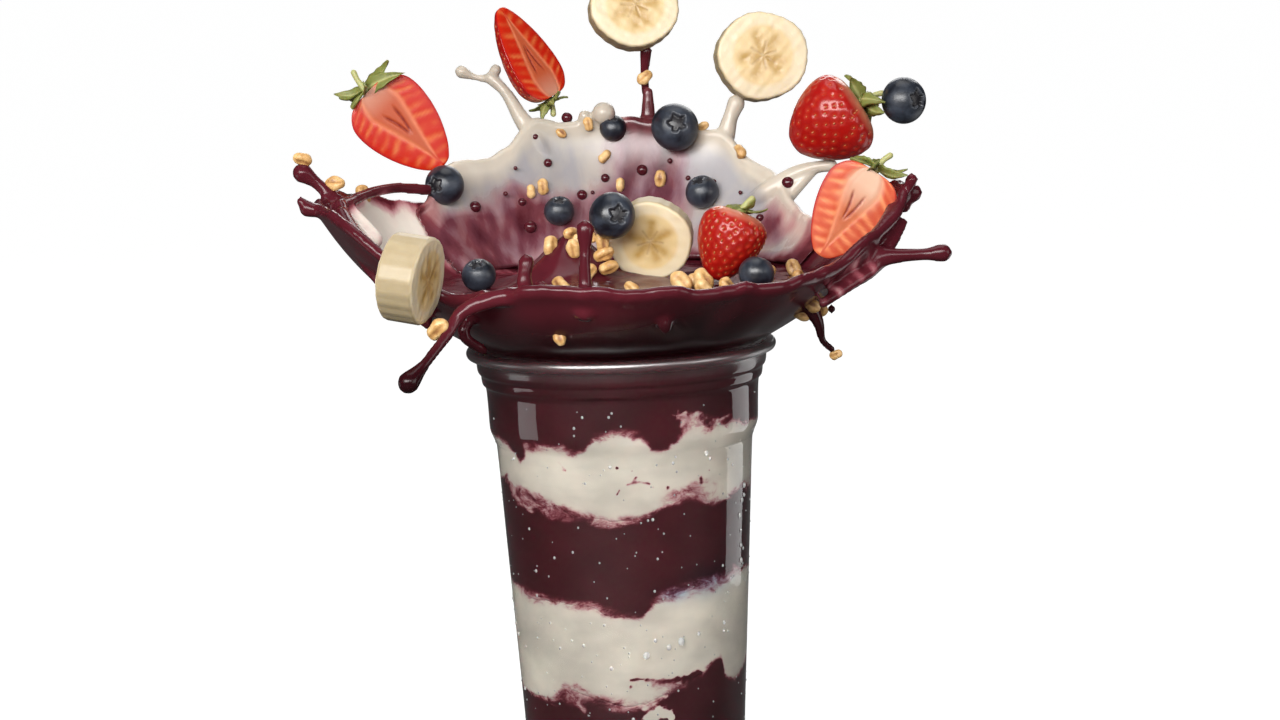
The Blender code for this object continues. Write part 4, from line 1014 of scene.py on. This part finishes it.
def berry_frame(tip, top, facing):
    """A turn that takes +Z along the berry from tip to stalk, and -Y towards the side its cut faces."""
    z = (Vector(top) - Vector(tip)).normalized()
    x = (-Vector(facing or (0, -1, 0))).cross(z).normalized()
    return Matrix((x, z.cross(x), z)).transposed()


def seed_places(count, length, radius, half, draw):
    """Seeds spaced evenly over the skin: each is a golden angle on from the last, at equal steps of area."""
    share = (np.arange(count) + 0.5) / count
    along = 0.06 + 0.84 * share**0.8 + draw.normal(0, 0.006, count)
    turn = np.arange(count) * GOLDEN_ANGLE + draw.normal(0, 0.06, count)
    rising = smooth_path(STRAWBERRY_PROFILE, 8)[:64]
    out = np.interp(along, rising[:, 1], rising[:, 0]) * radius
    places = around_axis(out, turn, along * length)
    return places[places[:, 1] > 0.8] if half else places


def berry_form(length, radius, half, seed):
    """The profile carried round the axis, or round its far half and back straight across the cut face. A
    whole berry is a little lobed. Also how much each point is of the cut, and its share of the way across."""
    wall = smooth_path(STRAWBERRY_PROFILE, 9)[1:-1]
    out, high = wall[:, :1] * radius, wall[:, 1:] * length
    if half:
        turn = np.linspace(0, np.pi, 100)
        cross = np.linspace(-1, 1, 82)[1:-1]
        bulge = -0.5 * (1 - cross**4)
        face = np.stack([out * cross, np.minimum(1, out / 3) * bulge + 0 * high, high + 0 * cross], -1)
        rings = np.concatenate([around_axis(out, turn, high), face], 1)
        cut = np.concatenate([0 * turn, 0 * cross + 1])
        share = np.concatenate([0 * turn + 1, cross])
    else:
        turn = np.linspace(0, 2 * np.pi, 190, endpoint=False)
        lobed = 1 + 0.035 * np.sin(3 * turn + seed) * np.sin(np.pi * high / length)
        rings = around_axis(out * lobed, turn, high)
        cut = 0 * turn
        share = 0 * turn + 1
    points, faces = closed_rings(rings, (0, 0, 0), (0, 0, 0.965 * length))
    cut = np.append((cut + 0 * high).ravel(), [0, 0])
    share = np.append((share + 0 * high).ravel(), [0, 0])
    return points, faces, cut, share


def flesh_marks(points, along, share, seed, ripe):
    """What a cut shows at a share of the way along the berry and across it. The streaks are a cosine of both
    ways together, raised to a power that grows outward, and fade at the core and at the skin. The core widens
    to 0.45 with a border round it; near the stalk a pale collar and a slit of two legs lie in it."""
    aside = np.abs(share)
    core_wide = 0.45 * np.clip(1.3 * along, 0.1, 1)
    out = np.clip((aside - core_wide) / (1 - core_wide), 0, 1)
    leaning = 9.5 * along + 0.9 * out * (0.4 + along) + 0.22 * np.sin(7 * along + seed) + 0.3 * np.sign(share)
    spike = 0.5 + 0.5 * np.cos(2 * np.pi * (leaning + 0.07 * ripples(points, 5, seed)))
    streak = spike ** (1.1 + 2.2 * out) * np.clip(out / 0.08, 0, 1) * np.clip((1 - out) / 0.35, 0, 1)
    broken = 0.75 + 0.45 * np.sin(23 * along + 4 * share) + 0.3 * ripples(points, 3.5, seed + 5)
    streak *= np.clip(broken, 0.1, 1.1)
    core = np.clip((core_wide - aside) / 0.06, 0, 1) * np.clip((along - 0.1) / 0.1, 0, 1)
    border = np.exp(-(((aside - core_wide) / 0.06) ** 2)) * np.clip((along - 0.05) / 0.12, 0, 1)
    collar = np.clip((along - 0.52 - 0.22 * ripe) / 0.3, 0, 1) * np.clip((1.25 - aside / 0.5) / 0.7, 0, 1)
    slit = 0 * along
    for side in (-1, 1):
        leg = share - side * (0.02 + 0.5 * np.clip(along - 0.42, 0, 1)) - 0.02 * np.sin(14 * along)
        slit = np.maximum(slit, np.exp(-((leg / 0.034) ** 2)))
    slit *= np.clip((along - 0.42) / 0.06, 0, 1) * np.clip((0.74 - along) / 0.07, 0, 1)
    return {
        "streak": streak, "core": core, "border": border, "collar": collar * (1 - 0.5 * ripe), "slit": slit,
        "edge": np.clip((aside - 0.9) / 0.08, 0, 1),
    }


def strawberry(length, radius, half, seed, ripe):
    """A berry with its skin pushed in by a small bell at each seed, and its cut face sunk a little where the
    slit, the core's border and the streaks are. Unripe flesh is fresh orange, most of all in its streaks."""
    draw = np.random.default_rng(seed)
    seeds = seed_places(200 if half else 170, length, radius, half, draw)
    points, faces, cut, share = berry_form(length, radius, half, seed)
    away = points * (1, 1, 0.5)
    away /= np.linalg.norm(away, axis=1, keepdims=True) + 1e-9
    pit = np.zeros(len(points))
    for place in seeds:
        near = ((points - place) ** 2).sum(-1)
        pit = np.maximum(pit, np.exp(-near / (2 * 0.62**2)))
    swell = np.exp(-((pit - 0.35) ** 2) / 0.05)
    points = points - away * ((0.55 * pit - 0.08 * swell) * (1 - cut))[:, None]
    along = points[:, 2] / length
    marks = flesh_marks(points, along, share, seed, ripe)
    points[:, 1] += cut * (0.35 * marks["slit"] + 0.12 * marks["border"] + 0.05 * marks["streak"])
    marks["cut"] = cut
    marks["pit"] = pit
    marks["pale"] = np.clip((along - 0.86) / 0.1, 0, 1)
    marks["fresh"] = cut * (1 - ripe) * (0.3 + 0.5 * marks["streak"])
    return points, faces, marks, seeds


berry_look, berry_tree, berry_shader = shader_of(
    "strawberry", IOR=1.4, Specular_IOR_Level=0.2, Subsurface_Weight=0.1, Subsurface_Scale=0.002,
    Subsurface_Radius=(1.0, 0.25, 0.15), Coat_Roughness=0.15,
)
fine = noise_of(berry_tree, 520.0, 4.0)
broad = noise_of(berry_tree, 95.0, 3.0)
skin = blend(berry_tree, broad, (0.22, 0.0018, 0.002, 1), (0.42, 0.008, 0.005, 1))
skin = blend(berry_tree, mark_of(berry_tree, "pit"), skin, (0.42, 0.03, 0.012, 1))
pale = sum_of(berry_tree, "MULTIPLY", mark_of(berry_tree, "pale"), sum_of(berry_tree, "MULTIPLY", broad, 0.9))
skin = blend(berry_tree, pale, skin, (0.78, 0.38, 0.22, 1))
flesh = blend(berry_tree, broad, (0.40, 0.003, 0.001, 1), (0.50, 0.02, 0.002, 1))
# Each tone of the flesh: its mark, how far noise breaks it up and how much is sure, and its colour
FLESH_TONES = [
    ("streak", fine, 0.7, 0.25, (0.60, 0.165, 0.045, 1)), ("core", fine, 0.0, 1.0, (0.41, 0.075, 0.028, 1)),
    ("border", fine, 0.6, 0.4, (0.62, 0.21, 0.10, 1)), ("collar", broad, 0.6, 0.6, (0.62, 0.46, 0.35, 1)),
    ("fresh", fine, 0.4, 0.4, (0.95, 0.40, 0.19, 1)), ("slit", fine, 1.2, 0.3, (0.16, 0.006, 0.005, 1)),
    ("edge", fine, 0.0, 1.0, (0.36, 0.003, 0.003, 1)),
]
for name, grit, loose, sure, colour in FLESH_TONES:
    share = sum_of(berry_tree, "MULTIPLY_ADD", grit, loose, sure)
    share = sum_of(berry_tree, "MULTIPLY", mark_of(berry_tree, name), share)
    flesh = blend(berry_tree, share, flesh, colour)
whole = blend(berry_tree, mark_of(berry_tree, "cut"), skin, flesh)
gloss = ranged(berry_tree, mark_of(berry_tree, "cut"), 0.35, 0.03)
shine = ranged(berry_tree, fine, 0.28, 0.45, 0.3, 0.7)
rough = relief_of(berry_tree, fine, 0.18, 0.0003)
feed(berry_tree, berry_shader, Base_Color=whole, Coat_Weight=gloss, Roughness=shine, Normal=rough)

seed_look, seed_tree, seed_shader = shader_of("strawberry_seed", Roughness=0.35, IOR=1.45)
gold = blend(seed_tree, noise_of(seed_tree, 300.0), (0.34, 0.07, 0.018, 1), (0.52, 0.22, 0.065, 1))
feed(seed_tree, seed_shader, Base_Color=gold)


def seed_grains(seeds, length):
    """A small drop-shaped seed in each pit, its point towards the berry's tip, of a few dozen faces."""
    steep = np.linspace(0, np.pi, 6)[1:-1, None]
    turn = np.linspace(0, 2 * np.pi, 6, endpoint=False)
    wide = 0.2 * np.sin(steep) * np.cos(turn)
    deep = 0.23 * np.sin(steep) * np.sin(turn)
    body = np.stack([wide, deep, -0.43 * np.cos(steep) + 0 * turn], -1)
    grain_points, grain_faces = closed_rings(body, (0, 0, -0.48), (0, 0, 0.41))
    bodies = []
    for place in seeds:
        out = np.array((place[0], place[1], 0.35 * (place[2] - 0.45 * length)))
        out /= np.linalg.norm(out)
        side = np.cross((0, 0, 1), out)
        side /= np.linalg.norm(side)
        seat = place - 0.28 * out
        bodies.append((grain_points @ np.array([out, side, np.cross(out, side)]) + seat, grain_faces))
    return laid_together(bodies)


for seed, (name, tip, top, radius, facing, _, ripe) in enumerate(STRAWBERRIES, 1):
    length = (Vector(top) - Vector(tip)).length
    points, faces, marks, seeds = strawberry(length, radius, facing is not None, seed, ripe)
    turn = np.array(berry_frame(tip, top, facing))
    mesh = mesh_of(f"strawberry_{name}_flesh", points @ turn.T + tip, faces, **marks)
    piece_of(f"strawberry_{name}_flesh", mesh, berry_look, "strawberry", f"strawberry_{name}")
    points, faces = seed_grains(seeds, length)
    mesh = mesh_of(f"strawberry_{name}_seeds", points @ turn.T + tip, faces)
    piece_of(f"strawberry_{name}_seeds", mesh, seed_look, None)

# Strawberry leaves. A calyx of pointed green leaves round a short stalk on top of each berry, arched and
# curled at their tips.
leaf_look, leaf_tree, leaf_shader = shader_of(
    "calyx_leaf", IOR=1.4, Subsurface_Weight=0.1, Subsurface_Scale=0.001
)
vein = mark_of(leaf_tree, "vein")
fine = noise_of(leaf_tree, 350.0, 4.0)
green = blend(leaf_tree, fine, (0.085, 0.105, 0.018, 1), (0.25, 0.26, 0.065, 1))
green = blend(leaf_tree, vein, green, (0.44, 0.43, 0.18, 1))
dull = ranged(leaf_tree, fine, 0.4, 0.6)
rough = relief_of(leaf_tree, sum_of(leaf_tree, "ADD", fine, vein), 0.4, 0.0003)
feed(leaf_tree, leaf_shader, Base_Color=green, Roughness=dull, Normal=rough)
LEAVES = 7


def leaf(length, width, turn, rise, curl, twist, roll):
    """A thin leaf out along X: half its width is the sine of the way along, drawn out to a point; its height
    rises, then curls; it is folded a little along its middle and rolled over. Rings run from stalk to tip."""
    along = np.linspace(0.02, 0.985, 22)[:, None]
    cross = np.linspace(-1, 1, 9)
    loop = np.concatenate([cross, cross[-2:0:-1]])
    upper = np.concatenate([np.zeros(9), np.ones(7)])
    wide = width * np.sin(np.pi * along**0.75) ** 0.8 * (1 - 0.35 * along) * (1 + 0.07 * np.sin(24 * along))
    fold = 0.25 * np.abs(loop) * wide
    arch = rise * along * length + curl * length * along**2.6
    x = length * (along - 0.16 * np.abs(curl) * along**3) + 0 * loop
    y = loop * wide + twist * along**2 * length
    z = arch + fold - (upper - 0.5) * 0.42 * np.sin(np.pi * np.clip(along, 0.08, 0.93)) ** 0.3
    z = z + 0.35 * np.sin(5 * along + 3 * loop) * along * width / 3
    rings = np.stack([x, y, z], -1)
    vein = np.exp(-((loop / 0.16) ** 2)) * (1 - along) ** 0.3 + 0 * loop
    tip = (x[-1].max() + 0.25, y[-1].mean(), z[-1].mean())
    points, faces = closed_rings(rings, (0, 0, 0), tip)
    spin = np.array(Matrix.Rotation(turn, 3, "Z") @ Matrix.Rotation(roll, 3, "X"))
    return points @ spin.T, faces, np.append(vein.ravel(), [1, 1])


for seed, (name, tip, top, radius, facing, reach, _) in enumerate(STRAWBERRIES, 1):
    draw = np.random.default_rng(seed + 40)
    bodies, veins = [], []
    for index in range(LEAVES):
        turn = 2 * np.pi * index / LEAVES + draw.normal(0, 0.12)
        size = reach * draw.uniform(0.7, 1.08)
        rise = draw.normal(-0.05, 0.15)
        curl = draw.normal(0.15, 0.35)
        twist = draw.normal(0, 0.14)
        leaf_points, leaf_faces, vein = leaf(size, 0.27 * reach, turn, rise, curl, twist, draw.normal(0, 0.6))
        bodies.append((leaf_points, leaf_faces))
        veins.append(vein)
    stalk = strand([(0, 0, -0.6), (0.4, 0.2, 0.28 * reach), (1.4, 0.5, 0.5 * reach)], [1.5, 0.85, 1.0], 12)
    bodies.append(stalk)
    veins.append(np.full(len(stalk[0]), 0.8))
    points, faces = laid_together(bodies)
    frame_of_berry = berry_frame(tip, top, facing)
    seat = Vector(top) + frame_of_berry @ Vector((0, 0.32 * radius if facing else 0, 0.5))
    points = points @ np.array(frame_of_berry).T + seat
    mesh = mesh_of(f"calyx_{name}_leaves", points, faces, vein=np.concatenate(veins))
    piece_of(f"calyx_{name}_leaves", mesh, leaf_look, "leaf", f"calyx_{name}")

# Blueberries. Round dark berries with a dull bloom and, at one end, a crown: a ragged ring of short flaps
# round a sunken disc.
BLUEBERRIES = [
    (-56.5, 51.0, 199.5, 6.6, (-0.6, -1, 0.1)), (-43.8, -2.0, 174.9, 5.4, (-0.2, -0.6, 1)),
    (-19.4, 64.6, 188.3, 5.1, (0.1, -0.5, 1)), (-1.1, -12.8, 193.1, 7.3, (0.35, -1, 0.15)),
    (-0.3, 77.2, 214.6, 4.6, (0.0, -0.5, 1)), (20.6, 70.4, 214.5, 8.0, (0.1, -1, 0.3)),
    (28.8, 63.6, 192.9, 5.7, (-0.3, -0.5, 1)), (42.6, -24.0, 174.6, 5.6, (0.4, 0.3, 1)),
    (95.7, 47.8, 221.8, 7.6, (0.7, -0.8, 0.1)),
]


def blueberry(radius, seed):
    """A slightly flat ball. Within the crown, whose outline has five points, the surface is sunk; along the
    outline it stands up in a ragged ridge."""
    draw = np.random.default_rng(seed)
    steep = np.concatenate([np.linspace(0, 2.35, 60)[1:], np.linspace(2.35, np.pi, 46)[1:-1]])[:, None]
    turn = np.linspace(0, 2 * np.pi, 120, endpoint=False)
    crown = np.pi - steep
    phase = draw.uniform(0, 6)
    outline = 0.40 + 0.075 * np.cos(5 * turn + phase) + 0.02 * np.sin(11 * turn + 2 * phase)
    off = crown - outline
    ridge = np.exp(-((off / 0.055) ** 2)) * (0.75 + 0.25 * np.cos(5 * turn + phase))
    sunk = 1 / (1 + np.exp(np.clip(off / 0.022, -30, 30)))
    puff = np.exp(-(((crown - 0.66) / 0.2) ** 2))
    dent = 0.012 * np.sin(2 * turn + phase) * np.sin(steep)
    size = radius * (1 + 0.05 * ridge - 0.17 * sunk + 0.018 * puff + dent)
    x = size * np.sin(steep) * np.cos(turn)
    y = size * np.sin(steep) * np.sin(turn)
    z = -0.93 * size * np.cos(steep)
    points, faces = closed_rings(np.stack([x, y, z], -1), (0, 0, -0.93 * radius), (0, 0, 0.8019 * radius))
    return points, faces, np.append(ridge.ravel(), [0, 0]), np.append(sunk.ravel(), [0, 1])


blue_look, blue_tree, blue_shader = shader_of(
    "blueberry_skin", IOR=1.42, Coat_Weight=0.12, Coat_Roughness=0.3
)
dust = noise_of(blue_tree, 130.0, 6.0, Roughness=0.6, Distortion=0.7)
bloom = ranged(blue_tree, dust, 0.0, 1.0, 0.38, 0.68)
skin = blend(blue_tree, bloom, (0.006, 0.0072, 0.012, 1), (0.036, 0.046, 0.067, 1))
skin = blend(blue_tree, mark_of(blue_tree, "ridge"), skin, (0.085, 0.095, 0.115, 1))
skin = blend(blue_tree, mark_of(blue_tree, "sunk"), skin, (0.012, 0.011, 0.014, 1))
matt = ranged(blue_tree, bloom, 0.3, 0.55)
rough = relief_of(blue_tree, noise_of(blue_tree, 800.0, 3.0), 0.25, 0.0002)
feed(blue_tree, blue_shader, Base_Color=skin, Roughness=matt, Normal=rough)
for index, (x, y, z, radius, way) in enumerate(BLUEBERRIES, 1):
    points, faces, ridge, sunk = blueberry(radius, index)
    points = points @ np.array(aim(way)).T + (x, y, z)
    mesh = mesh_of(f"blueberry_{index}_skin", points, faces, ridge=ridge, sunk=sunk)
    piece_of(f"blueberry_{index}_skin", mesh, blue_look, "blueberry", f"blueberry_{index}")

# Dew. The dessert is cold, so beads of water have formed on the outside of the cup, small all over and a few
# larger ones, most of them on the front. Each line gives bearings, heights and sizes of the larger ones.
LARGE_DEW = [
    (276.7, 58.8, 1.1), (287.8, 60.8, 0.85), (294.2, 62.2, 1.15), (281.3, 63.4, 0.6), (303.9, 63.8, 0.6),
    (321.0, 65.3, 0.6), (246.3, 62.1, 0.55), (259.6, 55.0, 0.6), (337.8, 107.1, 0.8), (335.6, 102.6, 0.7),
    (333.6, 98.0, 0.9), (335.1, 93.0, 0.6), (335.5, 88.2, 0.7), (335.9, 83.3, 0.85), (338.0, 104.0, 0.6),
    (253.2, 134.6, 0.4), (249.4, 131.2, 0.45), (264.2, 134.6, 0.4), (265.5, 135.8, 0.35), (252.0, 113.7, 0.4),
    (308.0, 120.6, 0.7), (310.2, 118.8, 0.6), (291.3, 118.9, 0.5), (96.0, 70.0, 1.0), (150.0, 58.0, 0.9),
]
SMALL_DEW = 560
draw = np.random.default_rng(8)
bearings = draw.uniform(0, 360, SMALL_DEW)
heights = draw.uniform(12, 137, SMALL_DEW)
places = np.stack([bearings, heights, 0.13 + draw.gamma(2.0, 0.06, SMALL_DEW)], 1)
side_of_cup = np.array(OUTER_WALL[3:18])
steep = np.linspace(0, np.pi, 6)[1:-1, None]
turn = np.linspace(0, 2 * np.pi, 8, endpoint=False)
deep = 0.65 * np.sin(steep) * np.cos(turn)
bead = np.stack([deep, np.sin(steep) * np.sin(turn), -1.15 * np.cos(steep) + 0 * turn], -1)
dew = []
for bearing, height, size in np.concatenate([places, LARGE_DEW]):
    out = np.interp(height, side_of_cup[:, 1], side_of_cup[:, 0])
    points, faces = closed_rings(bead * size, (0, 0, -1.15 * size), (0, 0, 1.15 * size))
    points = points + (out + 0.1 * size, 0, height)
    dew.append((points @ np.array(Matrix.Rotation(np.radians(bearing), 3, "Z")).T, faces))
# Painted glint: the beads are given a white base colour and let about a third of the light be diffuse, so
# that they show as bright specks
dew_look, dew_tree, dew_shader = shader_of(
    "dew", Base_Color=(1, 1, 1, 1), Transmission_Weight=0.65, IOR=1.33, Specular_IOR_Level=0.5
)
feed(dew_tree, dew_shader, Roughness=ranged(dew_tree, noise_of(dew_tree, 900.0), 0.08, 0.16))
piece_of("dew", mesh_of("dew", *laid_together(dew)), dew_look, None)

# The studio floor. A plain pale sheet that the cup stands on, which runs back past the picture's top edge. It
# shines evenly to the camera, as a bright backdrop does, but throws almost no light on the cup.
FLOOR_REACH = 40000
floor_side = np.linspace(-1, 1, 41)
floor_side = np.sign(floor_side) * floor_side**2 * FLOOR_REACH
floor_x, floor_y = np.meshgrid(floor_side, floor_side)
floor_z = np.zeros(floor_x.shape) - 0.05
cells = (np.arange(40)[:, None] * 41 + np.arange(40)).ravel()
floor_faces = np.stack([cells, cells + 1, cells + 42, cells + 41], 1).tolist()
floor_mesh = mesh_of("floor", np.stack([floor_x, floor_y, floor_z], -1).reshape(-1, 3), floor_faces)
floor_look, floor_tree, floor_shader = shader_of("studio_floor", Roughness=0.7)
grit = noise_of(floor_tree, 60.0, 4.0)
pale = blend(floor_tree, grit, (0.05, 0.05, 0.05, 1), (0.06, 0.06, 0.06, 1))
seen = sum_of(floor_tree, "MULTIPLY", node(floor_tree, "LightPath").outputs["Is Camera Ray"], 0.98)
floor_shader.inputs["Emission Color"].default_value = (1, 1, 1, 1)
feed(floor_tree, floor_shader, Base_Color=pale, Emission_Strength=seen)
floor_mesh.materials.append(floor_look)
studio_floor = bpy.data.objects.new("floor", floor_mesh)
bpy.context.scene.collection.objects.link(studio_floor)

# The light. A large soft box above and in front on the left, a weaker one on the right, one above and one
# behind, a gleam that shows only in reflections, and two small cards beside and behind the cup, which draw
# the bright edges down its wall. The room is dim to reflections.
world = bpy.data.worlds.new("studio")
bpy.context.scene.world = world
world.use_nodes = True
backdrop = world.node_tree.nodes["Background"]
backdrop.inputs["Color"].default_value = (0.95, 0.97, 1.0, 1)
mirrored = node(world.node_tree, "LightPath").outputs["Is Glossy Ray"]
mirrored = sum_of(world.node_tree, "MULTIPLY_ADD", mirrored, -0.24, 0.29)
world.node_tree.links.new(mirrored, backdrop.inputs["Strength"])
LIGHTS = [
    ("key", (-0.35, -0.85, 0.58), 1.0, 0.4, 16.5, (1.0, 0.985, 0.955)),
    ("fill", (0.95, -0.5, 0.34), 0.5, 0.5, 3.0, (1.0, 0.98, 0.96)),
    ("top", (0.05, 0.15, 1.1), 0.6, 0.6, 2.6, (1, 1, 1)),
    ("behind", (0.25, 1.3, 0.85), 0.9, 0.5, 7.0, (1, 1, 1)),
    ("gleam", (-0.03, -0.5, 0.42), 0.8, 0.12, 3.2, (1, 1, 1)),
    ("strip_left", (-0.31, -0.03, 0.105), 0.11, 0.11, 0.06, (1, 1, 1)),
    ("strip_right", (0.26, 0.115, 0.07), 0.14, 0.13, 0.085, (1, 1, 1)),
]
for name, place, wide, tall, power, colour in LIGHTS:
    lamp = bpy.data.lights.new(name, "AREA")
    lamp.shape = "RECTANGLE"
    lamp.size = wide
    lamp.size_y = tall
    lamp.energy = power
    lamp.color = colour
    stand = bpy.data.objects.new(name, lamp)
    stand.location = place
    stand.rotation_euler = (Vector(place) - Vector((0, 0, 0.17))).to_track_quat("Z", "Y").to_euler()
    stand.visible_diffuse = name != "gleam"
    bpy.context.scene.collection.objects.link(stand)

# The camera. It stands in front at the height of the splash's top and looks down by 8 degrees, turned by 2.2
# degrees, through a long lens.
tilt = np.radians(8.0)
roll = np.radians(2.2)
ahead = np.array((0, np.cos(tilt), -np.sin(tilt)))
upward = np.array((0, np.sin(tilt), np.cos(tilt)))
right = np.cos(roll) * np.array((1, 0, 0)) - np.sin(roll) * upward
above = np.sin(roll) * np.array((1, 0, 0)) + np.cos(roll) * upward
camera = bpy.data.objects.new("camera", bpy.data.cameras.new("camera"))
camera.data.lens = 85
camera.data.sensor_width = 36
bpy.context.scene.collection.objects.link(camera)
columns = np.stack([right, above, -ahead, (0.005836, -0.947344, 0.278939)], 1)
camera.matrix_world = Matrix(np.vstack([columns, (0, 0, 0, 1)]).tolist())
bpy.context.scene.camera = camera
bpy.context.scene.view_settings.view_transform = "Standard"

bpy.context.view_layer.update()
